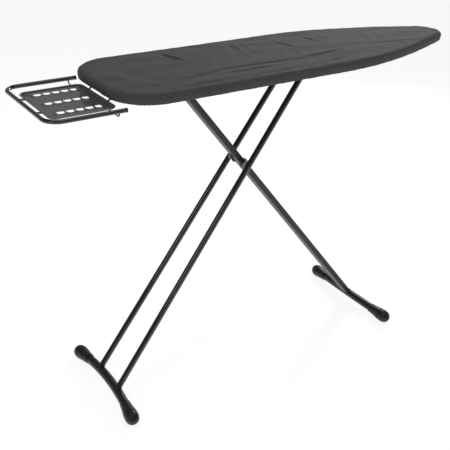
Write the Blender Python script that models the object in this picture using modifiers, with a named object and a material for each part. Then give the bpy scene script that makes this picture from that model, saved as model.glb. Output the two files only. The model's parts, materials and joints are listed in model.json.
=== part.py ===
"""Folding ironing board with a pull-out iron rest, modelled as separate pieces.

Metres, +Z up. +X runs along the board to its nose, +Y across it. The origin is on the
floor, under the middle of the whole object. The legs stand open, as in use: the flat
leg hinges under the wide end, and the twin-tube leg slides its top bar towards the nose
when the board folds.
"""

import math

import bmesh
import bpy
from mathutils import Matrix, Vector

COLLECTION = "ironing_board"
CUTTERS = "cutters"

# Gap left between two pieces that touch.
GAP = 0.0003

# Legs, measured in the plane of their swing.
LEG_ANGLE = math.radians(52.74)
LEG_UPPER = 0.3154          # hinge or slide bar to the scissor pivot
LEG_LOWER = 0.6833          # scissor pivot to the middle of a foot bar
HINGE_FROM_BOARD_MIDDLE = 0.3547

# Board.
WIDE_END = 0.555            # cover to the middle the other places are measured from
NOSE_END = 0.520
BOARD_HALF_WIDTH = 0.177
CORNER_RADIUS = 0.105
TAPER_START = 0.04          # from the middle of the board
NOSE_RADIUS = 0.065
NOSE_TANGENT = math.radians(66)
COVER_TOP = 0.0016
COVER_SIDE = 0.0022
COVER_SKIRT = 0.0205
PAD_THICKNESS = 0.0055
DECK_THICKNESS = 0.0015
RIM_WALL = 0.0025
DECK_OVER_HINGE = 0.0165    # hinge axis up to the deck's underside
RIM_OVER_HINGE = 0.0065
BRACE_WIDTH = 0.028
BRACE_PLACES = {"brace_wide_end": -0.435, "brace_middle": -0.105, "brace_nose": 0.385}

# Tubes and bars.
TWIN_RADIUS = 0.008
TWIN_WALL = 0.0011
TWIN_TOP_Y = 0.0414
TWIN_FOOT_Y = 0.0546
TWIN_PAST_BAR = 0.009
OVAL_WIDTH = 0.040
OVAL_DEPTH = 0.0163
OVAL_CORNER = 0.0055
OVAL_WALL = 0.0013
FOOT_RADIUS = 0.012
FOOT_WALL = 0.0014
FOOT_HALF = 0.178           # middle to the bar's end, inside the cap
FOOT_CURVE = 0.578          # fall of the bow, per metre of Y squared
FOOT_BOW_TILT = math.radians(38)
CAP_RADIUS = 0.0185
SLEEVE_START = 0.112        # along Y, where the flared sleeve begins
CAP_SEAM = 0.155
CAP_END = 0.187

# Scissor pivot, top hinge and slide.
PIN_RADIUS = 0.0045
HINGE_PIN_RADIUS = 0.004
RUNNING = 0.0003
BOSS_RADIUS = 0.0092
BOSS_FLARE = 0.0112
BOSS_END = 0.0355
WASHER_RADIUS = 0.0105
WASHER_THICKNESS = 0.0012
HINGE_TUBE_RADIUS = 0.008
HINGE_TUBE_HALF = 0.0285
BRACKET_Y = 0.0315
BRACKET_PLATE = 0.0025
BRACKET_HALF = 0.020
BRACKET_DROP = 0.012
BRACKET_FLANGE = 0.0485
SLIDE_BAR_RADIUS = 0.005
SLIDE_BAR_HALF = 0.061
GLIDE_RADIUS = 0.0065
GLIDE_Y = (0.0545, 0.0605)
RAIL_Y = (0.0525, 0.064)
RAIL_SHEET = 0.0015
RAIL_DROP = 0.011
RAIL_X = (0.004, 0.315)
RACK_X = (0.008, 0.305)
RACK_HALF = 0.0015
RACK_NOTCH = 0.006
RACK_PITCH = 0.045
RACK_NOTCHES = 6

# Height lever under the board.
LEVER_X = -0.030
LEVER_RISE = 0.007          # its axis above the hinge axis
LEVER_RADIUS = 0.003
LEVER_FAR_Y = 0.032
LEVER_NEAR_Y = -0.128
LEVER_ARM = 0.085
LEVER_DROOP = math.radians(8)
LEVER_BEND = 0.012
LEVER_CLIPS = {"lever_clip_near": -0.100, "lever_clip_far": 0.022}
LEVER_CLIP_SIZE = (0.014, 0.010)
PAWL_EYE = 0.0075
PAWL_TIP_GAP = 0.0018

# Iron rest.
RAIL_RADIUS = 0.005
REST_HALF = 0.143
REST_END_X = -0.716         # bight, from the middle of the board
REST_ARM_X = -0.543
REST_CORNER = 0.036
REST_BELOW_HINGE = 0.0065   # rail axis below the hinge axis
TRAY_X = (-0.693, -0.548)
TRAY_HALF = 0.100
TRAY_CORNER = 0.014
TRAY_RIM_BELOW = 0.0095     # rim's top below the hinge axis
TRAY_SHEET = 0.0012
TRAY_BEAD = 0.0022
TRAY_DEPTH = 0.006
RIB_ROWS = (-0.066, 0.006, 0.078)
RIB_HALF_WIDTH = 0.0127
RIB_HALF_LENGTH = 0.0585
RIB_RISE = 0.0022
RIB_END_FLAT = 0.0001       # half the straight part left at each rib end
HOLE_HALF_X = 0.0084
HOLE_HALF_Y = 0.0100
HOLE_PITCH = 0.0217
HOLES_PER_ROW = 5
HOLE_ROW_X = -0.6165
WIRE_RADIUS = 0.00225
CROSS_WIRE_RADIUS = 0.00175
CROSS_WIRE_X = -0.560
WIRE_Y = 0.053
WIRE_BEND = 0.016
STUB_BELOW = 0.0035         # under the axis of the bight
CROSS_WIRE_BEND = 0.004
ROD_RISE = math.radians(36)
ROD_OVER_HINGE = 0.0095
ROD_INNER_X = -0.298
GUIDE_X = (-0.393, -0.318)
GUIDE_SIZE = (0.022, 0.014, 0.0085)

TUBE_SIDES = 16
EDGE_BEVEL = 0.001

# Turned shapes, as (distance along the axis, radius).
RIVET_HEAD = ((0.0020, 0), (0.0019, 0.0012), (0.0012, 0.0026), (0, 0.0034), (0, 0))
RIVET_STEP = 0.012
PIN_HEAD = ((0.0024, 0), (0.0024, 0.0040), (0.0014, 0.0060), (0, 0.0065))
PIN_TAIL = ((0.0030, 0), (0.0028, 0.0050), (0.0012, 0.0068), (0, 0.0070))
PLUG_DOME = ((0.0032, 0), (0.0030, 0.0036), (0.0018, 0.0052), (0, 0.0056), (0, 0))
CAP_LIP_RADIUS = 0.0172
CAP_FLOOR = 0.007           # thickness of the cap past the bar's end
CAP_DOME = ((0.0030, 0.0002), (0.0070, 0.0), (0.0130, 0.0004), (0.0195, 0.0019),
            (0.0250, 0.0052), (0.0288, 0.0096), (0.0308, 0.0135))
SLEEVE_FLARE = ((0.0018, 0.0180), (0.010, 0.0172), (0.020, 0.0158), (0.030, 0.0146),
                (0.042, 0.0138))
BOSS_SHOULDER = (0.006, 0.002, 0.0008)
GRIP_BORE_DEPTH = 0.0556
GRIP_OVER_ROD = 0.055
GRIP_WAIST = ((0.060, 0), (0.0595, 0.0035), (0.057, 0.0052), (0.050, 0.0058),
              (0.030, 0.0050), (0.010, 0.0056), (0.0008, 0.0050), (0, 0.0044))
CLIP_BELOW = 0.0055
PAWL_TIP = ((-0.004, -0.0045), (0, -0.0015), (0, 0.0035))
PAWL_HALF = 0.0015
PAWL_Y = 0.008
SPRING_TURNS = 5
SPRING_RADIUS = 0.0052
SPRING_WIRE = 0.0008
SPRING_PITCH = 0.0022
SPRING_Y = -0.060
RACK_CLEARANCE = 0.0008

# Lengths of the cutters, which only have to pass right through.
BORE_HALF = 0.1
FOOT_BORE_HALF = 0.08
LEVER_BORE_HALF = 0.15


def reach(inset, t):
    """Half-width of the board's tapering side at t metres past the taper's start."""
    slope = 1 / math.tan(NOSE_TANGENT)
    run = nose_tangent_x() - TAPER_START
    drop = BOARD_HALF_WIDTH - NOSE_RADIUS * math.sin(NOSE_TANGENT)
    cubic = (slope * run - 2 * drop) / run**3
    square = drop / run**2 - cubic * run
    return BOARD_HALF_WIDTH - square * t**2 - cubic * t**3 - inset


def nose_tangent_x():
    """Where the side of the board runs into the arc of its nose."""
    return NOSE_END - NOSE_RADIUS + NOSE_RADIUS * math.cos(NOSE_TANGENT)


def half_outline(inset):
    """The board's outline for y >= 0, from the wide end to the nose, moved in by inset."""
    points = []
    corner = Vector((CORNER_RADIUS - WIDE_END, BOARD_HALF_WIDTH - CORNER_RADIUS))
    steps = 9
    for i in range(steps + 1):
        turn = math.pi - math.pi / 2 * i / steps
        points.append(corner + (CORNER_RADIUS - inset) * Vector((math.cos(turn), math.sin(turn))))
    steps = 12
    run = nose_tangent_x() - TAPER_START
    step = 1e-4
    for i in range(steps):
        t = run * i / steps
        slope = (reach(0, t + step) - reach(0, t)) / step
        normal = Vector((-slope, 1)).normalized()
        points.append(Vector((TAPER_START + t, reach(0, t))) - normal * inset)
    steps = 7
    for i in range(steps + 1):
        turn = NOSE_TANGENT * (1 - i / steps)
        arm = (NOSE_RADIUS - inset) * Vector((math.cos(turn), math.sin(turn)))
        points.append(Vector((NOSE_END - NOSE_RADIUS, 0)) + arm)
    return points


def board_outline(inset):
    """Closed outline of the board, in world X and Y."""
    upper = half_outline(inset)
    lower = [Vector((p.x, -p.y)) for p in reversed(upper[:-1])]
    return [(p.x + BOARD_X, p.y) for p in upper + lower]


def rounded_rectangle(half_x, half_y, radius, steps=4):
    """Closed outline of a rectangle with round corners, about the origin."""
    points = []
    for quarter, (sx, sy) in enumerate(((1, 1), (-1, 1), (-1, -1), (1, -1))):
        centre = (sx * (half_x - radius), sy * (half_y - radius))
        for i in range(steps + 1):
            turn = math.pi / 2 * (quarter + i / steps)
            points.append(
                (centre[0] + radius * math.cos(turn), centre[1] + radius * math.sin(turn))
            )
    return points


def oval(centre, half_x, half_y, steps=16):
    """Closed outline of an ellipse."""
    turns = (2 * math.pi * i / steps for i in range(steps))
    return [(centre[0] + half_x * math.cos(a), centre[1] + half_y * math.sin(a)) for a in turns]


def cap_profile():
    """(distance along the foot bar from its middle, radius) of the domed end cap."""
    dome = [(CAP_SEAM + along, CAP_RADIUS - inwards) for along, inwards in CAP_DOME]
    return [(CAP_SEAM + 4 * GAP, CAP_LIP_RADIUS), *dome]


def bow_at(y):
    """How far the foot bar's line falls away from its middle: bowed, with straight ends."""
    curved = min(abs(y), SLEEVE_START)
    return FOOT_CURVE * curved * (curved + 2 * (abs(y) - curved))


def foot_tangent(side_x):
    """Unit direction of the foot bar at its cap, pointing outwards to +Y."""
    fall = 2 * FOOT_CURVE * SLEEVE_START
    return Vector(
        (side_x * fall * math.cos(FOOT_BOW_TILT), 1, -fall * math.sin(FOOT_BOW_TILT))
    ).normalized()


def foot_bar_height():
    """Height of a foot bar's middle over the floor, with its caps just touching it."""
    along = foot_tangent(1)
    start = -bow_at(CAP_SEAM) * math.sin(FOOT_BOW_TILT)
    lowest = min(
        start + (place - CAP_SEAM) * along.z - radius * math.sqrt(1 - along.z**2)
        for place, radius in cap_profile()
    )
    return -lowest


# Heights and places that follow from the dimensions above.
BOARD_X = (-REST_END_X + RAIL_RADIUS - NOSE_END) / 2
FOOT_Z = foot_bar_height()
HINGE_X = BOARD_X - HINGE_FROM_BOARD_MIDDLE
PIVOT_Z = FOOT_Z + LEG_LOWER * math.sin(LEG_ANGLE)
HINGE_Z = PIVOT_Z + LEG_UPPER * math.sin(LEG_ANGLE)
PIVOT_X = HINGE_X + LEG_UPPER * math.cos(LEG_ANGLE)
SLIDE_X = HINGE_X + 2 * LEG_UPPER * math.cos(LEG_ANGLE)
OVAL_FOOT_X = PIVOT_X + LEG_LOWER * math.cos(LEG_ANGLE)
TWIN_FOOT_X = PIVOT_X - LEG_LOWER * math.cos(LEG_ANGLE)
DECK_Z = HINGE_Z + DECK_OVER_HINGE
UNDER_DECK_Z = DECK_Z - GAP
PAD_Z = DECK_Z + DECK_THICKNESS + GAP
COVER_INSIDE_Z = PAD_Z + PAD_THICKNESS + GAP
COVER_TOP_Z = COVER_INSIDE_Z + COVER_TOP
RIM_Z = HINGE_Z + RIM_OVER_HINGE
REST_Z = HINGE_Z - REST_BELOW_HINGE
TRAY_RIM_Z = HINGE_Z - TRAY_RIM_BELOW
TRAY_FLOOR_Z = TRAY_RIM_Z - TRAY_DEPTH
RIM_INSET = COVER_SIDE + 2 * GAP


def finish(name, colour, roughness, metallic=0.0):
    """A plain Principled material."""
    material = bpy.data.materials.new(name)
    material.use_nodes = True
    shader = material.node_tree.nodes["Principled BSDF"]
    shader.inputs["Base Color"].default_value = (*colour, 1)
    shader.inputs["Roughness"].default_value = roughness
    shader.inputs["Metallic"].default_value = metallic
    material.diffuse_color = (*colour, 1)
    return material


def collection(name):
    """A new collection in the scene."""
    made = bpy.data.collections.new(name)
    bpy.context.scene.collection.children.link(made)
    return made


def clear_scene():
    """Removes whatever the scene held."""
    for obj in list(bpy.data.objects):
        bpy.data.objects.remove(obj, do_unlink=True)


def add(name, data, material, group):
    """Puts mesh or curve data in a collection as one named object."""
    obj = bpy.data.objects.new(name, data)
    group.objects.link(obj)
    if material is not None:
        data.materials.append(material)
    return obj


def as_cutter(obj):
    """Marks an object as a helper that only cuts others."""
    obj.hide_render = True
    obj.display_type = "WIRE"
    return obj


def curve_to_mesh(obj):
    """Replaces a curve object by a mesh object of the same name, with its caps welded."""
    bpy.context.view_layer.update()
    evaluated = obj.evaluated_get(bpy.context.evaluated_depsgraph_get())
    mesh = bpy.data.meshes.new_from_object(evaluated)
    work = bmesh.new()
    work.from_mesh(mesh)
    bmesh.ops.remove_doubles(work, verts=work.verts, dist=0.00001)
    bmesh.ops.recalc_face_normals(work, faces=work.faces)
    work.to_mesh(mesh)
    work.free()
    name, group, place = obj.name, obj.users_collection[0], obj.matrix_world.copy()
    bpy.data.objects.remove(obj, do_unlink=True)
    made = bpy.data.objects.new(name, mesh)
    group.objects.link(made)
    made.matrix_world = place
    return made


def boolean(obj, other, operation="DIFFERENCE"):
    """Adds a Boolean modifier."""
    modifier = obj.modifiers.new(operation.lower(), "BOOLEAN")
    modifier.operation = operation
    modifier.solver = "EXACT"
    modifier.object = other
    return modifier


def plate(name, outlines, low, high, material, group):
    """A flat piece: closed outlines, the first outside and the rest holes, from low to high."""
    curve = bpy.data.curves.new(name, "CURVE")
    curve.dimensions = "2D"
    curve.fill_mode = "BOTH"
    curve.extrude = (high - low) / 2
    for outline in outlines:
        spline = curve.splines.new("POLY")
        spline.points.add(len(outline) - 1)
        for point, (x, y) in zip(spline.points, outline):
            point.co = (x, y, 0, 1)
        spline.use_cyclic_u = True
    obj = add(name, curve, material, group)
    obj.location.z = (high + low) / 2
    return obj


def box(name, low, high, material, group, bevel=0.0):
    """A box between two corners, its edges rounded by bevel."""
    mesh = bpy.data.meshes.new(name)
    work = bmesh.new()
    bmesh.ops.create_cube(work, size=1)
    size = [b - a for a, b in zip(low, high)]
    bmesh.ops.scale(work, vec=size, verts=work.verts)
    work.to_mesh(mesh)
    work.free()
    obj = add(name, mesh, material, group)
    obj.location = [(a + b) / 2 for a, b in zip(low, high)]
    if bevel:
        modifier = obj.modifiers.new("edges", "BEVEL")
        modifier.width = bevel
        modifier.segments = 2
    return obj


def turned(name, profile, start, direction, material, group, closed=False, steps=TUBE_SIDES):
    """A turned piece. profile holds (distance along direction, radius), far end first."""
    mesh = bpy.data.meshes.new(name)
    work = bmesh.new()
    verts = [work.verts.new((radius, 0, along)) for along, radius in profile]
    for a, b in zip(verts, verts[1:]):
        work.edges.new((a, b))
    if closed:
        work.edges.new((verts[-1], verts[0]))
    work.to_mesh(mesh)
    work.free()
    obj = add(name, mesh, material, group)
    screw = obj.modifiers.new("turn", "SCREW")
    screw.axis = "Z"
    screw.steps = steps
    screw.render_steps = steps
    screw.use_merge_vertices = True
    screw.merge_threshold = 0.00005
    turn = Vector(direction).to_track_quat("Z", "Y").to_matrix().to_4x4()
    obj.matrix_world = Matrix.Translation(start) @ turn
    return obj


def rod(name, a, b, radius, material, group, bore=0.0, steps=TUBE_SIDES):
    """A straight round bar from a to b, or a tube if it has a bore."""
    a, b = Vector(a), Vector(b)
    length = (b - a).length
    if bore:
        profile = [(length, bore), (length, radius), (0, radius), (0, bore)]
        return turned(name, profile, a, b - a, material, group, closed=True, steps=steps)
    profile = [(length, 0), (length, radius), (0, radius), (0, 0)]
    return turned(name, profile, a, b - a, material, group, steps=steps)


def wire(name, points, radius, material, group, sides=3, caps=True):
    """A bent bar along points, which are already close enough for its bends."""
    curve = bpy.data.curves.new(name, "CURVE")
    curve.dimensions = "3D"
    curve.bevel_depth = radius
    curve.bevel_resolution = sides
    curve.use_fill_caps = caps
    spline = curve.splines.new("POLY")
    spline.points.add(len(points) - 1)
    for point, place in zip(spline.points, points):
        point.co = (*place, 1)
    return add(name, curve, material, group)


def bent(points, radius, steps=6):
    """The points of a path through the given corners, each rounded by an arc."""
    corners = [Vector(p) for p in points]
    path = [corners[0]]
    for before, corner, after in zip(corners, corners[1:], corners[2:]):
        back = (before - corner).normalized()
        on = (after - corner).normalized()
        half = back.angle(on) / 2
        trim = radius / math.tan(half)
        centre = corner + (back + on).normalized() * (radius / math.sin(half))
        first = corner + back * trim - centre
        last = corner + on * trim - centre
        sweep = first.angle(last)
        for i in range(steps + 1):
            share = i / steps
            arm = (
                math.sin((1 - share) * sweep) * first + math.sin(share * sweep) * last
            ) / math.sin(sweep)
            path.append(centre + arm)
    path.append(corners[-1])
    return path


def smooth(group):
    """Shades round pieces smooth and keeps their sharp edges."""
    for obj in group.objects:
        if obj.type == "MESH":
            obj.data.shade_smooth()
            obj.data.set_sharp_from_angle(angle=math.radians(35))


def make_board(group, cutters, look):
    """Cover, pad, deck, rim and the braces below the deck."""
    cover = plate("cover", [board_outline(0)], COVER_TOP_Z - COVER_SKIRT, COVER_TOP_Z,
                  None, group)
    cover = curve_to_mesh(cover)
    cover.data.materials.append(look["cover"])
    pocket = plate("cover_pocket", [board_outline(COVER_SIDE)],
                   COVER_TOP_Z - 2 * COVER_SKIRT, COVER_INSIDE_Z, None, cutters)
    boolean(cover, as_cutter(curve_to_mesh(pocket)))
    inner = board_outline(RIM_INSET)
    plate("pad", [inner], PAD_Z, PAD_Z + PAD_THICKNESS, look["pad"], group)
    plate("deck", [inner], DECK_Z, DECK_Z + DECK_THICKNESS, look["steel"], group)
    rim_inside = board_outline(RIM_INSET + RIM_WALL)
    plate("rim", [inner, rim_inside], RIM_Z, UNDER_DECK_Z, look["steel"], group)
    for name, place in BRACE_PLACES.items():
        half = RIM_INSET + RIM_WALL + 2 * GAP
        taper = reach(half, max(0.0, place + BRACE_WIDTH / 2 - TAPER_START))
        corner = BOARD_HALF_WIDTH - half
        half_y = min(taper, corner)
        low = (BOARD_X + place - BRACE_WIDTH / 2, -half_y, UNDER_DECK_Z - RAIL_SHEET)
        high = (BOARD_X + place + BRACE_WIDTH / 2, half_y, UNDER_DECK_Z)
        box(name, low, high, look["steel"], group)


def make_slide(group, look):
    """Side channels and toothed rack for the twin leg's top bar."""
    for side, sign in (("near", -1), ("far", 1)):
        inner, outer = RAIL_Y
        top, low = UNDER_DECK_Z - HINGE_Z, -RAIL_DROP
        web = outer - RAIL_SHEET
        section = [
            (inner, top), (outer, top), (outer, low), (inner, low),
            (inner, low + RAIL_SHEET), (web, low + RAIL_SHEET),
            (web, top - RAIL_SHEET), (inner, top - RAIL_SHEET),
        ]
        # The section's own X is world Y and its own Y is world Z.
        outline = [(sign * y, z) for y, z in section]
        length = RAIL_X[1] - RAIL_X[0]
        rail = plate(f"slide_rail_{side}", [outline], 0, length, look["steel"], group)
        place = Matrix(((0, 0, 1, BOARD_X + RAIL_X[0] + length / 2), (1, 0, 0, 0),
                        (0, 1, 0, HINGE_Z), (0, 0, 0, 1)))
        rail.matrix_world = place
    bottom = SLIDE_BAR_RADIUS + RACK_CLEARANCE
    first = SLIDE_X - BOARD_X - RACK_X[0]
    outline = [(0, bottom)]
    for tooth in range(RACK_NOTCHES):
        centre = first + tooth * RACK_PITCH
        for i in range(9):
            turn = math.pi * (1 - i / 8)
            outline.append(
                (centre + RACK_NOTCH * math.cos(turn), bottom + RACK_NOTCH * math.sin(turn))
            )
    length = RACK_X[1] - RACK_X[0]
    top = UNDER_DECK_Z - HINGE_Z
    outline += [(length, bottom), (length, top), (0, top)]
    rack = plate("height_rack", [outline], -RACK_HALF, RACK_HALF, look["zinc"], group)
    rack.matrix_world = Matrix(((1, 0, 0, BOARD_X + RACK_X[0]), (0, 0, -1, 0),
                                (0, 1, 0, HINGE_Z), (0, 0, 0, 1)))


def make_hinge(group, cutters, look):
    """The flat leg's two brackets, their rivets and the pin."""
    hole = as_cutter(rod("hinge_pin_bore", (HINGE_X, -BORE_HALF, HINGE_Z), (HINGE_X, BORE_HALF, HINGE_Z),
                         HINGE_PIN_RADIUS + RUNNING, None, cutters))
    for side, sign in (("near", -1), ("far", 1)):
        top = UNDER_DECK_Z - HINGE_Z
        inner, outer = sign * BRACKET_Y, sign * (BRACKET_Y + BRACKET_PLATE)
        section = [
            (inner, top), (inner, -BRACKET_DROP), (outer, -BRACKET_DROP),
            (outer, top - BRACKET_PLATE), (sign * BRACKET_FLANGE, top - BRACKET_PLATE),
            (sign * BRACKET_FLANGE, top),
        ]
        bracket = plate(f"hinge_bracket_{side}", [section], -BRACKET_HALF, BRACKET_HALF,
                        look["steel"], group)
        bracket.matrix_world = Matrix(((0, 0, 1, HINGE_X), (1, 0, 0, 0),
                                       (0, 1, 0, HINGE_Z), (0, 0, 0, 1)))
        bracket = curve_to_mesh(bracket)
        boolean(bracket, hole)
        rivet_y = sign * (BRACKET_Y + BRACKET_FLANGE + BRACKET_PLATE) / 2
        under = UNDER_DECK_Z - BRACKET_PLATE - GAP
        for end, step in (("a", -RIVET_STEP), ("b", RIVET_STEP)):
            turned(f"hinge_rivet_{side}_{end}", RIVET_HEAD, (HINGE_X + step, rivet_y, under),
                   (0, 0, -1), look["zinc"], group, steps=12)
    half = BRACKET_Y + BRACKET_PLATE + GAP
    tail = [(2 * half + along, radius) for along, radius in PIN_TAIL]
    head = [(-along, radius) for along, radius in reversed(PIN_HEAD)]
    pin = [*tail, (2 * half, HINGE_PIN_RADIUS), (0, HINGE_PIN_RADIUS), *head]
    turned("hinge_pin", pin, (HINGE_X, -half, HINGE_Z), (0, 1, 0), look["zinc"], group)


def foot_point(centre_x, side_x, y):
    """A point on a foot bar's middle line. side_x is +1 where its ends lean to +X."""
    fall = bow_at(y)
    return Vector((centre_x + side_x * fall * math.cos(FOOT_BOW_TILT), y,
                   FOOT_Z - fall * math.sin(FOOT_BOW_TILT)))


def make_foot(leg, centre_x, side_x, group, cutters, look):
    """A bowed foot bar with a flared sleeve and a domed cap at each end.

    Returns a cutter that leaves a gap all round the bar.
    """
    steps = 10
    bowed = [SLEEVE_START * (2 * i / steps - 1) for i in range(steps + 1)]
    path = [foot_point(centre_x, side_x, y) for y in [-FOOT_HALF, *bowed, FOOT_HALF]]
    bar = wire(f"{leg}_foot_bar", path, FOOT_RADIUS, look["foot_bar"], group, 5, caps=False)
    wall = bar.modifiers.new("wall", "SOLIDIFY")
    wall.thickness = FOOT_WALL
    wall.offset = -1
    for side, sign in (("near", -1), ("far", 1)):
        along = foot_tangent(side_x)
        along.y *= sign
        seam = foot_point(centre_x, side_x, sign * CAP_SEAM)
        start = seam - along * CAP_SEAM
        bore = FOOT_RADIUS + 3 * GAP
        flare = [(CAP_SEAM - back, radius) for back, radius in SLEEVE_FLARE]
        sleeve = [(CAP_SEAM, bore), (CAP_SEAM, CAP_LIP_RADIUS), *flare, (SLEEVE_START, bore)]
        turned(f"{leg}_foot_sleeve_{side}", sleeve, start, along, look["plastic"], group,
               closed=True, steps=16)
        dome = [(CAP_END, 0)] + cap_profile()[::-1] + [
            (CAP_SEAM + GAP, CAP_LIP_RADIUS), (CAP_SEAM + GAP, bore),
            (FOOT_HALF + GAP, bore), (CAP_END - CAP_FLOOR, 0),
        ]
        turned(f"{leg}_foot_cap_{side}", dome, start, along, look["plastic"], group, steps=16)
    path = [foot_point(centre_x, side_x, FOOT_BORE_HALF * step / 2) for step in range(-2, 3)]
    cutter = wire(f"{leg}_foot_bore", path, FOOT_RADIUS + 2 * GAP, None, cutters, 6)
    return as_cutter(curve_to_mesh(cutter))


def make_oval_leg(group, cutters, look):
    """The single flat-sided leg with its hinge tube, pivot bosses and foot."""
    down = Vector((math.cos(LEG_ANGLE), 0, -math.sin(LEG_ANGLE)))
    top = Vector((HINGE_X, 0, HINGE_Z))
    length = LEG_UPPER + LEG_LOWER
    outer = rounded_rectangle(OVAL_DEPTH / 2, OVAL_WIDTH / 2, OVAL_CORNER)
    inner = rounded_rectangle(OVAL_DEPTH / 2 - OVAL_WALL, OVAL_WIDTH / 2 - OVAL_WALL,
                              OVAL_CORNER - OVAL_WALL)
    leg = plate("oval_leg_tube", [outer, inner], -length / 2, length / 2, None, group)
    across = Vector((0, 1, 0))
    side = across.cross(down)
    turn = Matrix((side, across, down)).transposed().to_4x4()
    leg.matrix_world = Matrix.Translation(top + down * length / 2) @ turn
    leg = curve_to_mesh(leg)
    leg.data.materials.append(look["leg_satin"])
    hinge = rod("hinge_tube_bore", (HINGE_X, -BORE_HALF, HINGE_Z), (HINGE_X, BORE_HALF, HINGE_Z),
                HINGE_TUBE_RADIUS + GAP, None, cutters)
    boolean(leg, as_cutter(hinge))
    pivot = rod("pivot_bore", (PIVOT_X, -BORE_HALF, PIVOT_Z), (PIVOT_X, BORE_HALF, PIVOT_Z),
                PIN_RADIUS + RUNNING, None, cutters)
    boolean(leg, as_cutter(pivot))
    rod("oval_leg_hinge_tube", (HINGE_X, -HINGE_TUBE_HALF, HINGE_Z),
        (HINGE_X, HINGE_TUBE_HALF, HINGE_Z), HINGE_TUBE_RADIUS, look["leg_satin"], group,
        bore=HINGE_PIN_RADIUS + RUNNING)
    for name, sign in (("near", -1), ("far", 1)):
        base = OVAL_WIDTH / 2 + GAP
        bore = PIN_RADIUS + RUNNING
        height = BOSS_END - base
        shoulder, skirt, chamfer = BOSS_SHOULDER
        boss = [(height, bore), (height, BOSS_RADIUS), (shoulder, BOSS_RADIUS),
                (skirt, BOSS_FLARE - chamfer), (0, BOSS_FLARE), (0, bore)]
        turned(f"pivot_boss_{name}", boss, (PIVOT_X, sign * base, PIVOT_Z), (0, sign, 0),
               look["leg_satin"], group, closed=True)
    boolean(leg, make_foot("oval_leg", OVAL_FOOT_X, 1, group, cutters, look))


def make_twin_leg(group, cutters, look):
    """The two parallel tubes with their slide bar, pivot pin, washers and foot."""
    cutter = make_foot("twin_leg", TWIN_FOOT_X, -1, group, cutters, look)
    bar_hole = rod("slide_bar_bore", (SLIDE_X, -BORE_HALF, HINGE_Z), (SLIDE_X, BORE_HALF, HINGE_Z),
                   SLIDE_BAR_RADIUS + GAP, None, cutters)
    as_cutter(bar_hole)
    for name, sign in (("near", -1), ("far", 1)):
        foot = Vector((TWIN_FOOT_X, sign * TWIN_FOOT_Y, FOOT_Z))
        top = Vector((SLIDE_X, sign * TWIN_TOP_Y, HINGE_Z))
        past = (top - foot).normalized() * TWIN_PAST_BAR
        tube = rod(f"twin_tube_{name}", foot, top + past, TWIN_RADIUS, look["leg_gloss"],
                   group, bore=TWIN_RADIUS - TWIN_WALL)
        boolean(tube, cutter)
        boolean(tube, bar_hole)
        inner, outer = (sign * y for y in GLIDE_Y)
        rod(f"slide_glide_{name}", (SLIDE_X, inner, HINGE_Z), (SLIDE_X, outer, HINGE_Z),
            GLIDE_RADIUS, look["nylon"], group, bore=SLIDE_BAR_RADIUS + GAP)
        low = BOSS_END + GAP
        rod(f"pivot_washer_{name}", (PIVOT_X, sign * low, PIVOT_Z),
            (PIVOT_X, sign * (low + WASHER_THICKNESS), PIVOT_Z), WASHER_RADIUS,
            look["nylon"], group, bore=PIN_RADIUS + GAP)
    rod("slide_bar", (SLIDE_X, -SLIDE_BAR_HALF, HINGE_Z), (SLIDE_X, SLIDE_BAR_HALF, HINGE_Z),
        SLIDE_BAR_RADIUS, look["zinc"], group)
    share = LEG_UPPER / (LEG_UPPER + LEG_LOWER)
    tube_y = TWIN_TOP_Y + (TWIN_FOOT_Y - TWIN_TOP_Y) * share
    pin_half = tube_y - TWIN_RADIUS - 2 * GAP
    rod("pivot_pin", (PIVOT_X, -pin_half, PIVOT_Z), (PIVOT_X, pin_half, PIVOT_Z),
        PIN_RADIUS, look["zinc"], group)


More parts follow.
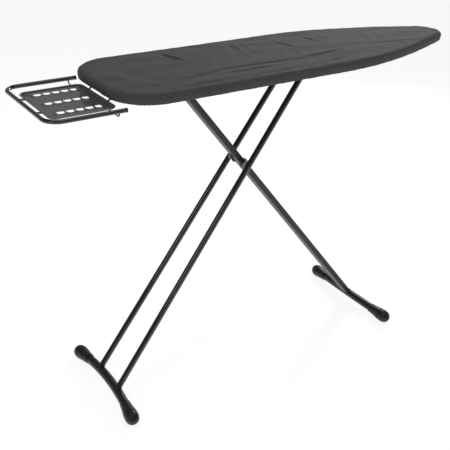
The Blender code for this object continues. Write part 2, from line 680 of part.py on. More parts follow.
def make_lever(group, cutters, look):
    """The height lever, its clips, grip, pawl and return spring."""
    x, z = BOARD_X + LEVER_X, HINGE_Z + LEVER_RISE
    droop = Vector((-math.cos(LEVER_DROOP), 0, -math.sin(LEVER_DROOP)))
    corner = Vector((x, LEVER_NEAR_Y, z))
    path = bent([(x, LEVER_FAR_Y, z), corner, corner + droop * LEVER_ARM], LEVER_BEND)
    wire("lever_rod", path, LEVER_RADIUS, look["zinc"], group)
    grip_start = corner + droop * (LEVER_ARM - GRIP_OVER_ROD)
    grip = [*GRIP_WAIST, (0, LEVER_RADIUS + GAP), (GRIP_BORE_DEPTH, LEVER_RADIUS + GAP),
            (GRIP_BORE_DEPTH, 0)]
    turned("lever_grip", grip, grip_start, droop, look["plastic"], group, steps=16)
    bore = rod("lever_bore", (x, -LEVER_BORE_HALF, z), (x, LEVER_BORE_HALF, z),
               LEVER_RADIUS + RUNNING, None, cutters, steps=16)
    hole = as_cutter(bore)
    for name, y in LEVER_CLIPS.items():
        half_x, half_y = (size / 2 for size in LEVER_CLIP_SIZE)
        low = (x - half_x, y - half_y, z - CLIP_BELOW)
        high = (x + half_x, y + half_y, UNDER_DECK_Z)
        clip = box(name, low, high, look["plastic"], group, bevel=EDGE_BEVEL)
        boolean(clip, hole)
    tip = SLIDE_X - SLIDE_BAR_RADIUS - PAWL_TIP_GAP
    heel = [(x + PAWL_EYE * math.cos(turn), z + PAWL_EYE * math.sin(turn))
            for turn in (math.pi * (0.30 + 1.40 * i / 12) for i in range(13))]
    arm = heel + [(tip + dx, z + dz) for dx, dz in PAWL_TIP]
    pawl = plate("lever_pawl", [arm], -PAWL_HALF, PAWL_HALF, None, group)
    pawl.matrix_world = Matrix(((1, 0, 0, 0), (0, 0, -1, PAWL_Y), (0, 1, 0, 0), (0, 0, 0, 1)))
    pawl = curve_to_mesh(pawl)
    pawl.data.materials.append(look["zinc"])
    boolean(pawl, hole)
    per_turn = 8
    coil = []
    for i in range(SPRING_TURNS * per_turn + 1):
        turn = 2 * math.pi * i / per_turn
        coil.append((x + SPRING_RADIUS * math.cos(turn), SPRING_Y + SPRING_PITCH * i / per_turn,
                     z + SPRING_RADIUS * math.sin(turn)))
    wire("lever_spring", coil, SPRING_WIRE, look["zinc"], group, sides=1)


def make_rest(group, cutters, look):
    """The pull-out iron rest: bent rail, pressed tray, stubs, rods and cross wire."""
    arm = BOARD_X + REST_ARM_X
    bight = BOARD_X + REST_END_X
    corners = [(arm, -REST_HALF, REST_Z), (bight, -REST_HALF, REST_Z),
               (bight, REST_HALF, REST_Z), (arm, REST_HALF, REST_Z)]
    wire("rest_rail", bent(corners, REST_CORNER, 8), RAIL_RADIUS, look["leg_gloss"], group, 4)
    for name, sign in (("near", -1), ("far", 1)):
        turned(f"rest_rail_plug_{name}", PLUG_DOME, (arm + GAP, sign * REST_HALF, REST_Z),
               (1, 0, 0), look["plastic"], group, steps=16)
        y = sign * WIRE_Y
        tray_left = BOARD_X + TRAY_X[0] - TRAY_BEAD - GAP
        stub_z = TRAY_RIM_Z - TRAY_BEAD
        stub_end = Vector((bight + RAIL_RADIUS, y, REST_Z - STUB_BELOW))
        wire(f"rest_stub_{name}", [(tray_left, y, stub_z), tuple(stub_end)], WIRE_RADIUS,
             look["leg_gloss"], group)
        start = Vector((BOARD_X + TRAY_X[1] + TRAY_BEAD + 2 * GAP, y, TRAY_RIM_Z - TRAY_BEAD))
        rod_z = HINGE_Z + ROD_OVER_HINGE
        run = (rod_z - start.z) / math.tan(ROD_RISE)
        path = bent([start, (start.x + run, y, rod_z), (BOARD_X + ROD_INNER_X, y, rod_z)], WIRE_BEND)
        wire(f"rest_rod_{name}", path, WIRE_RADIUS, look["leg_gloss"], group)
        hole = as_cutter(rod(f"rest_guide_bore_{name}", (BOARD_X - 0.55, y, rod_z),
                             (BOARD_X - 0.3, y, rod_z), WIRE_RADIUS + RUNNING, None, cutters,
                             steps=16))
        for place, guide_x in zip(("outer", "inner"), GUIDE_X):
            half_x, half_y, drop = GUIDE_SIZE[0] / 2, GUIDE_SIZE[1] / 2, GUIDE_SIZE[2] / 2
            low = (BOARD_X + guide_x - half_x, y - half_y, rod_z - drop)
            high = (BOARD_X + guide_x + half_x, y + half_y, UNDER_DECK_Z)
            guide = box(f"rest_guide_{place}_{name}", low, high, look["plastic"], group,
                        bevel=EDGE_BEVEL)
            boolean(guide, hole)
    floor = TRAY_FLOOR_Z - TRAY_SHEET - GAP - CROSS_WIRE_RADIUS
    hang = REST_Z - RAIL_RADIUS - 2 * GAP
    inside = REST_HALF
    x = BOARD_X + CROSS_WIRE_X
    drop_y = inside - CROSS_WIRE_BEND
    path = bent([(x, -inside, hang), (x, -drop_y, floor), (x, drop_y, floor), (x, inside, hang)],
                CROSS_WIRE_BEND, 4)
    wire("rest_cross_wire", path, CROSS_WIRE_RADIUS, look["leg_gloss"], group)
    make_tray(group, cutters, look)


def make_tray(group, cutters, look):
    """The pressed tray: floor, three raised ribs, a beaded rim and rows of oval holes."""
    centre_x = BOARD_X + sum(TRAY_X) / 2
    half_x = (TRAY_X[1] - TRAY_X[0]) / 2
    outline = [(x + centre_x, y) for x, y in rounded_rectangle(half_x, TRAY_HALF, TRAY_CORNER)]
    block = plate("rest_tray", [outline], TRAY_FLOOR_Z - TRAY_SHEET, TRAY_RIM_Z - TRAY_BEAD,
                  None, group)
    tray = curve_to_mesh(block)
    tray.data.materials.append(look["tray"])
    wall = TRAY_SHEET
    inner = rounded_rectangle(half_x - wall, TRAY_HALF - wall, TRAY_CORNER - wall)
    pocket = plate("tray_pocket", [[(x + centre_x, y) for x, y in inner]], TRAY_FLOOR_Z,
                   TRAY_RIM_Z + TRAY_DEPTH, None, cutters)
    boolean(tray, as_cutter(curve_to_mesh(pocket)))
    bead_line = [(x + centre_x, y, TRAY_RIM_Z - TRAY_BEAD) for x, y in
                 rounded_rectangle(half_x, TRAY_HALF, TRAY_CORNER)]
    bead = wire("tray_bead", bead_line, TRAY_BEAD, None, cutters, 2)
    bead.data.splines[0].use_cyclic_u = True
    bead.data.use_fill_caps = False
    boolean(tray, as_cutter(curve_to_mesh(bead)), "UNION")
    rib_x = BOARD_X + HOLE_ROW_X
    for number, y in enumerate(RIB_ROWS):
        shape = rounded_rectangle(RIB_HALF_LENGTH, RIB_HALF_WIDTH, RIB_HALF_WIDTH - RIB_END_FLAT, 5)
        top = TRAY_FLOOR_Z + RIB_RISE
        rib = plate(f"tray_rib_{number}", [[(rib_x + px, y + py) for px, py in shape]],
                    TRAY_FLOOR_Z - TRAY_SHEET / 2, top, None, cutters)
        boolean(tray, as_cutter(curve_to_mesh(rib)), "UNION")
        shape = rounded_rectangle(RIB_HALF_LENGTH - wall, RIB_HALF_WIDTH - wall,
                                  RIB_HALF_WIDTH - wall - RIB_END_FLAT, 5)
        hollow = plate(f"tray_rib_hollow_{number}",
                       [[(rib_x + px, y + py) for px, py in shape]],
                       TRAY_FLOOR_Z - 2 * TRAY_SHEET, top - wall, None, cutters)
        boolean(tray, as_cutter(curve_to_mesh(hollow)))
        for hole in range(HOLES_PER_ROW):
            x = rib_x + (hole - (HOLES_PER_ROW - 1) / 2) * HOLE_PITCH
            punch = plate(f"tray_punch_{number}_{hole}", [oval((x, y), HOLE_HALF_X, HOLE_HALF_Y)],
                          TRAY_FLOOR_Z - TRAY_DEPTH, TRAY_FLOOR_Z + TRAY_DEPTH, None, cutters)
            boolean(tray, as_cutter(curve_to_mesh(punch)))


def main():
    """Builds every piece."""
    clear_scene()
    group, cutters = collection(COLLECTION), collection(CUTTERS)
    cutters.hide_render = True
    look = {
        "cover": finish("charcoal_cloth", (0.085, 0.083, 0.084), 0.9),
        "pad": finish("felt", (0.55, 0.55, 0.53), 0.95),
        "steel": finish("painted_steel", (0.06, 0.06, 0.062), 0.45),
        "leg_gloss": finish("gloss_black_paint", (0.012, 0.012, 0.013), 0.15),
        "leg_satin": finish("satin_black_paint", (0.022, 0.021, 0.020), 0.35),
        "foot_bar": finish("satin_bar_paint", (0.018, 0.018, 0.018), 0.40),
        "tray": finish("gloss_tray_paint", (0.02, 0.02, 0.021), 0.18),
        "plastic": finish("black_plastic", (0.02, 0.02, 0.02), 0.5),
        "zinc": finish("zinc_plate", (0.60, 0.61, 0.62), 0.3, 1.0),
        "nylon": finish("white_nylon", (0.8, 0.79, 0.74), 0.45),
    }
    make_board(group, cutters, look)
    make_slide(group, look)
    make_hinge(group, cutters, look)
    make_oval_leg(group, cutters, look)
    make_twin_leg(group, cutters, look)
    make_lever(group, cutters, look)
    make_rest(group, cutters, look)
    smooth(group)


main()
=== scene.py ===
"""Finished surfaces of a folding ironing board with a pull-out iron rest.

Metres, +Z up. +X runs along the board to its nose and +Y away from its near long side,
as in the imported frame, which gives every place. Each sub-assembly is a class: its fields
are its sizes, and its methods make the surfaces with numpy and dress them.
"""

import json
import logging
import math
from dataclasses import dataclass
from enum import Enum
from typing import Any, Optional, Sequence

import bmesh
import bpy
import numpy as np
from mathutils import Matrix, Vector

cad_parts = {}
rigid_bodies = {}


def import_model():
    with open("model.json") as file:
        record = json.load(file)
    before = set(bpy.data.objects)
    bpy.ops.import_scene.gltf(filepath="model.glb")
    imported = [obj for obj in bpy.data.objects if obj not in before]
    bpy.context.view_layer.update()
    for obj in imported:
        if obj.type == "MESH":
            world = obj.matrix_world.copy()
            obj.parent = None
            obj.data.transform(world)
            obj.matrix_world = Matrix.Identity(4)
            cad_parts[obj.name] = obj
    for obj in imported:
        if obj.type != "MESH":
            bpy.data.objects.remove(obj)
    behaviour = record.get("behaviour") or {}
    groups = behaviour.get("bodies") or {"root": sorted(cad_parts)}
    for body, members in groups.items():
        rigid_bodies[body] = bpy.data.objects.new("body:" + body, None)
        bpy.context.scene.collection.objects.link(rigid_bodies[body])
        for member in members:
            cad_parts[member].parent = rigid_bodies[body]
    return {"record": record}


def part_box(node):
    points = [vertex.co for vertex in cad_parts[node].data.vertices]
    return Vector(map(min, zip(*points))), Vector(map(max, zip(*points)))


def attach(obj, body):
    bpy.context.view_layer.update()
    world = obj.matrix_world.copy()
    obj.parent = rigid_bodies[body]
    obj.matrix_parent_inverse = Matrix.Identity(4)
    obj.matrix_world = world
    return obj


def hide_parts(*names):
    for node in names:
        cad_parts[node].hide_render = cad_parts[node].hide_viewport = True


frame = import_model()

Array = np.ndarray
log = logging.getLogger("ironing_board")
TAU = 2 * math.pi
MM = 0.001


class Slot(Enum):
    """The record's material slots."""

    COVER = "cover_cloth"
    PAD = "pad_felt"
    STEEL = "board_steel"
    ZINC = "zinc"
    GLOSS = "gloss_black"
    SATIN = "satin_brown_black"
    FOOT = "foot_black"
    TRAY = "tray_grey"
    PLASTIC = "black_plastic"
    NYLON = "pale_nylon"


class Body(Enum):
    """The rigid bodies that pieces ride on."""

    BOARD = "board"
    OVAL_LEG = "oval_leg"
    TWIN_LEG = "twin_leg"
    LEVER = "height_lever"
    REST = "rest"


class Side(Enum):
    """The two long sides of the board, with the sign of Y."""

    NEAR = -1
    FAR = 1

    @property
    def word(self) -> str:
        """The side's name as node names spell it."""
        return self.name.lower()


# Surfaces -----------------------------------------------------------------------------


def unit(vectors: Array) -> Array:
    """Vectors divided by their lengths, along the last axis."""
    return vectors / np.maximum(np.linalg.norm(vectors, axis=-1, keepdims=True), 1e-12)


def smooth_step(share: Array) -> Array:
    """0 below 0, 1 above 1 and 3t^2 - 2t^3 between."""
    t = np.clip(share, 0.0, 1.0)
    return t * t * (3 - 2 * t)


def wave_sum(at: Array, period: float, waves: Sequence[float], seed: int) -> Array:
    """A smooth wandering line that repeats after one period.

    It is the sum of one sine per entry of waves, which are counts of whole waves in the
    period, each with its own random phase, divided by the square root of their number.

    Args:
        at: where to read the line, in the period's unit.
        period: length after which the line repeats.
        waves: how many whole waves each sine makes in one period.
        seed: picks the phases.

    Returns:
        Values of about -1.5 to 1.5, in the shape of at.
    """
    counts = np.round(np.asarray(waves, float))
    phases = np.random.default_rng(seed).uniform(0, TAU, len(counts))
    angles = np.multiply.outer(np.asarray(at) / period, counts) * TAU + phases
    return np.sin(angles).sum(-1) / math.sqrt(len(counts))


def grid_quads(rows: int, columns: int, wrap_rows: bool, wrap_columns: bool) -> Array:
    """Quads between the neighbours of a grid of points numbered row by row.

    Args:
        rows: how many rows of points.
        columns: how many points in a row.
        wrap_rows: whether the last row joins the first.
        wrap_columns: whether each row's end joins its start.

    Returns:
        Vertex numbers, four a face.
    """
    i, j = np.meshgrid(
        np.arange(rows if wrap_rows else rows - 1),
        np.arange(columns if wrap_columns else columns - 1),
        indexing="ij",
    )
    below, right = (i + 1) % rows, (j + 1) % columns
    corners = [i * columns + j, i * columns + right, below * columns + right, below * columns + j]
    return np.stack(corners, -1).reshape(-1, 4)


def cap_fan(first: int, count: int, centre: int, flip: bool) -> Array:
    """Triangles from a ring of count points, numbered from first, to a centre point."""
    ring = first + np.arange(count)
    after = first + (np.arange(count) + 1) % count
    order = (ring, after) if flip else (after, ring)
    return np.stack([*order, np.full(count, centre)], -1)


@dataclass
class Surface:
    """Points and faces on their way to becoming an object."""

    points: Array
    quads: Array
    triangles: Optional[Array] = None

    @classmethod
    def from_grid(cls, grid: Array, wrap_rows: bool = False, wrap_columns: bool = True,
                  caps: bool = False) -> "Surface":
        """A surface over a grid of points, its open rows closed by fans if caps is set.

        Args:
            grid: rows x columns x 3.
            wrap_rows: whether the last row joins the first.
            wrap_columns: whether each row is a closed ring.
            caps: whether the first and last rows are closed to their mean points.

        Returns:
            The surface, facing outwards where rows run along a ring's right-hand axis.
        """
        rows, columns = grid.shape[:2]
        points = grid.reshape(-1, 3)
        quads = grid_quads(rows, columns, wrap_rows, wrap_columns)
        if not caps:
            return cls(points, quads)
        middles = np.stack([grid[0].mean(0), grid[-1].mean(0)])
        count = len(points)
        fans = np.concatenate([
            cap_fan(0, columns, count, False),
            cap_fan((rows - 1) * columns, columns, count + 1, True),
        ])
        return cls(np.concatenate([points, middles]), quads, fans)

    def joined(self, other: "Surface") -> "Surface":
        """This surface and another as one."""
        shift = len(self.points)
        empty = np.zeros((0, 3), int)
        mine = empty if self.triangles is None else self.triangles
        theirs = empty if other.triangles is None else other.triangles
        return Surface(
            np.concatenate([self.points, other.points]),
            np.concatenate([self.quads, other.quads + shift]),
            np.concatenate([mine, theirs + shift]),
        )

    def mesh(self, name: str) -> bpy.types.Mesh:
        """The surface as Blender mesh data."""
        triangles = np.zeros((0, 3), int) if self.triangles is None else self.triangles
        mesh = bpy.data.meshes.new(name)
        mesh.vertices.add(len(self.points))
        mesh.vertices.foreach_set("co", np.ascontiguousarray(self.points, np.float32).ravel())
        loops = np.concatenate([self.quads.ravel(), triangles.ravel()]).astype(np.int32)
        mesh.loops.add(len(loops))
        mesh.loops.foreach_set("vertex_index", loops)
        sizes = np.repeat([4, 3], [len(self.quads), len(triangles)])
        starts = np.concatenate([[0], np.cumsum(sizes)[:-1]]).astype(np.int32)
        mesh.polygons.add(len(sizes))
        mesh.polygons.foreach_set("loop_start", starts)
        mesh.update(calc_edges=True)
        mesh.validate()
        return mesh


def swept(path: Array, section: Array, up: Sequence[float], closed: bool = False,
          sizes: Optional[Array] = None, caps: bool = True) -> Surface:
    """A section carried along a path.

    At each point of the path the tangent is the difference of its neighbours, the rise is
    up with its share along the tangent taken out, and the side is tangent x rise. A
    section point (a, b) lands at path + a side + b rise.

    Args:
        path: points along the middle line.
        section: closed outline as (side, rise) pairs, running from side to rise.
        up: a direction that the path never runs along.
        closed: whether the path is a closed loop.
        sizes: a factor on the section at each point of the path.
        caps: whether an open sweep has its ends closed.

    Returns:
        The closed surface.
    """
    path = np.asarray(path, float)
    if closed:
        tangent = unit(np.roll(path, -1, 0) - np.roll(path, 1, 0))
    else:
        tangent = unit(np.gradient(path, axis=0))
    lift = np.broadcast_to(np.asarray(up, float), path.shape)
    rise = unit(lift - (lift * tangent).sum(1, keepdims=True) * tangent)
    side = np.cross(tangent, rise)
    scale = np.ones(len(path)) if sizes is None else np.asarray(sizes)
    a, b = (section[:, k][None, :, None] * scale[:, None, None] for k in (0, 1))
    grid = path[:, None] + a * side[:, None] + b * rise[:, None]
    return Surface.from_grid(grid, wrap_rows=closed, caps=caps and not closed)


def circle(radius: float, count: int = 28) -> Array:
    """A circle's outline as pairs."""
    turn = np.arange(count) / count * TAU
    return radius * np.stack([np.cos(turn), np.sin(turn)], 1)


def round_box(half_a: float, half_b: float, corner: float, steps: int = 8) -> Array:
    """A rectangle's outline with round corners: each quarter is an arc about its corner."""
    quarter = np.repeat(np.arange(4), steps + 1)
    turn = (quarter + np.tile(np.arange(steps + 1) / steps, 4)) * TAU / 4
    sign_a = np.array([1, -1, -1, 1])[quarter]
    sign_b = np.array([1, 1, -1, -1])[quarter]
    a = sign_a * (half_a - corner) + corner * np.cos(turn)
    b = sign_b * (half_b - corner) + corner * np.sin(turn)
    return np.stack([a, b], 1)


def revolved(profile: Sequence[Sequence[float]], start: Sequence[float],
             along: Sequence[float], count: int = 40) -> Surface:
    """A profile turned about an axis.

    Point (d, r) of the profile at turn t lands at start + d along + r (cos t e + sin t f),
    where e and f square off the axis. Ends at radius 0 close themselves with a fan.

    Args:
        profile: (distance along the axis, radius) pairs, low end first.
        start: the axis's origin.
        along: the axis's direction.
        count: points round the axis.

    Returns:
        The closed surface.
    """
    axis = unit(np.asarray(along, float))
    helper = np.eye(3)[np.argmin(np.abs(axis))]
    e = unit(np.cross(helper, axis))
    f = np.cross(axis, e)
    turn = np.arange(count) / count * TAU
    ring = np.cos(turn)[:, None] * e + np.sin(turn)[:, None] * f
    data = np.asarray(profile, float)
    grid = np.asarray(start) + data[:, 0, None, None] * axis + data[:, 1, None, None] * ring
    return Surface.from_grid(grid, caps=True)


def eased(profile: Sequence[Sequence[float]], count: int) -> Array:
    """A profile's points joined by a Catmull-Rom curve.

    Between points p1 and p2 at share t the curve is half of
    2 p1 + (p2 - p0) t + (2 p0 - 5 p1 + 4 p2 - p3) t^2 + (3 p1 - p0 - 3 p2 + p3) t^3.

    Args:
        profile: the points, of any dimension.
        count: points made between each two.

    Returns:
        The denser points, the last one included.
    """
    p = np.asarray(profile, float)
    ends = np.concatenate([[2 * p[0] - p[1]], p, [2 * p[-1] - p[-2]]])
    p0, p1, p2, p3 = ends[:-3, None], ends[1:-2, None], ends[2:-1, None], ends[3:, None]
    t = (np.arange(count) / count)[None, :, None]
    curve = 0.5 * (2 * p1 + (p2 - p0) * t + (2 * p0 - 5 * p1 + 4 * p2 - p3) * t**2
                   + (3 * p1 - p0 - 3 * p2 + p3) * t**3)
    return np.concatenate([curve.reshape(-1, p.shape[1]), p[-1:]])


def bent_path(corners: Sequence[Sequence[float]], radius: float, step: float = 0.003) -> Array:
    """A path through corners, each rounded by an arc, with a point about every step.

    Args:
        corners: the corners, the ends included.
        radius: radius of every bend.
        step: distance between points.

    Returns:
        The path's points.
    """
    p = np.asarray(corners, float)
    pieces = [p[:1]]
    for before, corner, after in zip(p, p[1:], p[2:]):
        back, on = unit(before - corner), unit(after - corner)
        half = math.acos(float(np.clip(back @ on, -1, 1))) / 2
        centre = corner + unit(back + on) * radius / math.sin(half)
        first = corner + back * radius / math.tan(half) - centre
        last = corner + on * radius / math.tan(half) - centre
        sweep = math.pi - 2 * half
        share = np.linspace(0, 1, max(4, int(sweep * radius / step * 2)))[:, None]
        arm = (np.sin((1 - share) * sweep) * first + np.sin(share * sweep) * last)
        pieces.append(centre + arm / math.sin(sweep))
    pieces.append(p[-1:])
    rough = np.concatenate(pieces)
    return spaced(rough, step)


def spaced(path: Array, step: float, closed: bool = False) -> Array:
    """The path's own points, with more between them wherever they are over a step apart."""
    rough = np.concatenate([path, path[:1]]) if closed else path
    gaps = np.linalg.norm(np.diff(rough, axis=0), axis=1)
    keep = np.concatenate([[True], gaps > 1e-7])
    rough, gaps = rough[keep], gaps[gaps > 1e-7]
    at = np.concatenate([[0], np.cumsum(gaps)])
    parts = np.maximum(1, np.ceil(gaps / step)).astype(int)
    number = np.repeat(np.arange(len(gaps)), parts)
    within = np.arange(parts.sum()) - np.repeat(np.cumsum(parts) - parts, parts)
    places = at[:-1][number] + within / parts[number] * gaps[number]
    places = places if closed else np.append(places, at[-1])
    return np.stack([np.interp(places, at, rough[:, k]) for k in range(rough.shape[1])], 1)


def saddle(base: Array, axis: Array, section: Array, bar: Array, bar_radius: float) -> Array:
    """The line where a straight tube's skin meets a round bar.

    A point of the tube's skin is base + q + t axis. It lies on the bar where its distance
    from the bar's middle line is the bar's radius, so with the parts of q and axis square
    to the bar, t is the larger root of |q + t axis|^2 = radius^2.

    Args:
        base: where the tube's middle line meets the bar's.
        axis: direction of the tube, away from the bar.
        section: outline points of the tube about its middle line, as 3-D offsets.
        bar: direction of the bar.
        bar_radius: radius of the bar.

    Returns:
        One point for each point of the outline.
    """
    square_q = section - np.outer(section @ bar, bar)
    square_axis = axis - (axis @ bar) * bar
    a = square_axis @ square_axis
    b = 2 * square_q @ square_axis
    c = (square_q**2).sum(1) - bar_radius**2
    t = (-b + np.sqrt(np.maximum(b * b - 4 * a * c, 0))) / (2 * a)
    return base + section + t[:, None] * axis


# Finishes -----------------------------------------------------------------------------


class Graph:
    """Builds one material's nodes."""

    def __init__(self, name: str) -> None:
        """Starts a material that holds a shader and its output."""
        self.material = bpy.data.materials.new(name)
        self.material.use_nodes = True
        self.nodes = self.material.node_tree.nodes
        self.links = self.material.node_tree.links
        self.shader = self.nodes["Principled BSDF"]
        self.place = self.nodes.new("ShaderNodeTexCoord").outputs["Object"]

    def set(self, **values: Any) -> None:
        """Sets the shader's sockets; an underscore in a name stands for a space."""
        for name, value in values.items():
            self.shader.inputs[name.replace("_", " ")].default_value = value

    def feed(self, socket: str, source: Any) -> None:
        """Links an output to one of the shader's sockets."""
        self.links.new(source, self.shader.inputs[socket])

    def stretched(self, scale: Sequence[float]) -> Any:
        """Object coordinates scaled along each axis."""
        node = self.nodes.new("ShaderNodeMapping")
        node.inputs["Scale"].default_value = scale
        self.links.new(self.place, node.inputs["Vector"])
        return node.outputs["Vector"]

    def noise(self, scale: float, detail: float = 3.0, roughness: float = 0.55,
              place: Any = None) -> Any:
        """Noise from 0 to 1, with scale waves a metre."""
        node = self.nodes.new("ShaderNodeTexNoise")
        node.inputs["Scale"].default_value = scale
        node.inputs["Detail"].default_value = detail
        node.inputs["Roughness"].default_value = roughness
        self.links.new(self.place if place is None else place, node.inputs["Vector"])
        return node.outputs["Fac"]

    def maths(self, operation: str, a: Any, b: Any = 0.0) -> Any:
        """One Math node; a and b are outputs or numbers."""
        node = self.nodes.new("ShaderNodeMath")
        node.operation = operation
        for socket, value in zip(node.inputs, (a, b)):
            if isinstance(value, (int, float)):
                socket.default_value = value
            else:
                self.links.new(value, socket)
        return node.outputs["Value"]

    def between(self, value: Any, low: float, high: float, to_low: float, to_high: float) -> Any:
        """A value's range carried onto another, and held at its ends."""
        node = self.nodes.new("ShaderNodeMapRange")
        for name, number in (("From Min", low), ("From Max", high), ("To Min", to_low),
                             ("To Max", to_high)):
            node.inputs[name].default_value = number
        self.links.new(value, node.inputs["Value"])
        return node.outputs["Result"]

    def blend(self, share: Any, a: Sequence[float], b: Sequence[float]) -> Any:
        """A colour between two, by a share from 0 to 1."""
        node = self.nodes.new("ShaderNodeMix")
        node.data_type = "RGBA"
        for socket in node.inputs:
            if socket.name in ("A", "B") and socket.type == "RGBA":
                socket.default_value = (*(a if socket.name == "A" else b), 1)
        self.links.new(share, node.inputs["Factor"])
        return next(out for out in node.outputs if out.type == "RGBA")

    def bump(self, height: Any, strength: float, distance: float) -> None:
        """Adds a bump to the shader, over any bump that it already has."""
        node = self.nodes.new("ShaderNodeBump")
        node.inputs["Strength"].default_value = strength
        node.inputs["Distance"].default_value = distance
        self.links.new(height, node.inputs["Height"])
        before = self.shader.inputs["Normal"].links
        if before:
            self.links.new(before[0].from_socket, node.inputs["Normal"])
        self.feed("Normal", node.outputs["Normal"])


def shade(colour: Sequence[float], factor: float) -> tuple:
    """A colour made lighter or darker by a factor."""
    return tuple(channel * factor for channel in colour)


@dataclass(frozen=True)
class WovenCloth:
    """Closely woven matt cotton: crossing threads, slubs, and a soft uneven dye."""

    colour: tuple = (0.062, 0.0588, 0.0602)
    thread: float = 0.75 * MM
    sheen: float = 0.10

    def material(self) -> bpy.types.Material:
        """Threads are |sin| ridges along the warp and the weft, one over the other."""
        g = Graph("charcoal_woven_cloth")
        g.set(Roughness=0.88, Sheen_Weight=self.sheen, Sheen_Roughness=0.45)
        g.set(Specular_IOR_Level=0.22)
        parts = g.nodes.new("ShaderNodeSeparateXYZ")
        g.links.new(g.place, parts.inputs["Vector"])
        across = g.maths("ADD", parts.outputs["Y"], parts.outputs["Z"])
        turns = TAU / self.thread
        warp = g.maths("ABSOLUTE", g.maths("SINE", g.maths("MULTIPLY", parts.outputs["X"], turns / 2)))
        weft = g.maths("ABSOLUTE", g.maths("SINE", g.maths("MULTIPLY", across, turns / 2)))
        weave = g.maths("MULTIPLY", warp, weft)
        slubs = g.noise(60, 4, 0.6, g.stretched((1, 9, 9)))
        dye = g.noise(9, 4, 0.6)
        tone = g.maths("ADD", g.between(slubs, 0.3, 0.7, 0.0, 0.55), g.between(dye, 0.3, 0.7, 0.0, 0.45))
        g.feed("Base Color", g.blend(tone, shade(self.colour, 0.86), shade(self.colour, 1.13)))
        g.bump(weave, 0.35, 0.12 * MM)
        g.bump(slubs, 0.25, 0.25 * MM)
        return g.material


@dataclass(frozen=True)
class Felt:
    """Pale needled felt with loose fibres."""

    colour: tuple = (0.55, 0.54, 0.51)

    def material(self) -> bpy.types.Material:
        """Two sizes of noise for tufts and fibres, in tone and in height."""
        g = Graph("needled_felt")
        g.set(Roughness=0.96, Sheen_Weight=0.3, Specular_IOR_Level=0.15)
        tufts = g.noise(240, 5, 0.7)
        g.feed("Base Color", g.blend(tufts, shade(self.colour, 0.75), shade(self.colour, 1.15)))
        g.bump(tufts, 0.7, 0.6 * MM)
        return g.material


@dataclass(frozen=True)
class Paint:
    """Paint on steel: its tone, how glossy it is and how much its skin ripples."""

    name: str
    colour: tuple
    roughness: float
    coat: float = 0.0
    ripple: float = 0.05
    grain: float = 420.0
    scuffs: float = 0.10

    def material(self) -> bpy.types.Material:
        """Orange peel as a fine bump; roughness and tone drift over some centimetres."""
        g = Graph(self.name)
        g.set(Coat_Weight=self.coat, Coat_Roughness=0.05, Specular_IOR_Level=0.5)
        drift = g.noise(14, 4, 0.6)
        fine = g.noise(self.grain, 3, 0.5)
        g.feed("Base Color", g.blend(drift, shade(self.colour, 0.85), shade(self.colour, 1.2)))
        rough = self.roughness
        g.feed("Roughness", g.between(drift, 0.3, 0.75, rough, rough + self.scuffs))
        g.bump(fine, self.ripple, 0.15 * MM)
        return g.material


@dataclass(frozen=True)
class MouldedPlastic:
    """Moulded plastic with the fine spark-eroded skin of its mould."""

    name: str
    colour: tuple
    roughness: float = 0.42

    def material(self) -> bpy.types.Material:
        """A dense fine bump with cloudy gloss."""
        g = Graph(self.name)
        g.set(Specular_IOR_Level=0.45)
        clouds = g.noise(30, 4, 0.6)
        skin = g.noise(2200, 2, 0.6)
        g.feed("Base Color", g.blend(clouds, shade(self.colour, 0.85), shade(self.colour, 1.15)))
        g.feed("Roughness", g.between(clouds, 0.3, 0.7, self.roughness - 0.05, self.roughness + 0.08))
        g.bump(skin, 0.15, 0.06 * MM)
        return g.material


@dataclass(frozen=True)
class ZincPlate:
    """Bright zinc plating with faint drawn streaks."""

    colour: tuple = (0.56, 0.56, 0.55)

    def material(self) -> bpy.types.Material:
        """Noise stretched along Y, the way most pins and rods lie, dulls the metal."""
        g = Graph("zinc_plate")
        g.set(Metallic=1.0)
        streaks = g.noise(160, 4, 0.6, g.stretched((1, 0.12, 1)))
        g.feed("Base Color", g.blend(streaks, shade(self.colour, 0.8), shade(self.colour, 1.15)))
        g.feed("Roughness", g.between(streaks, 0.3, 0.7, 0.24, 0.42))
        g.bump(streaks, 0.08, 0.05 * MM)
        return g.material


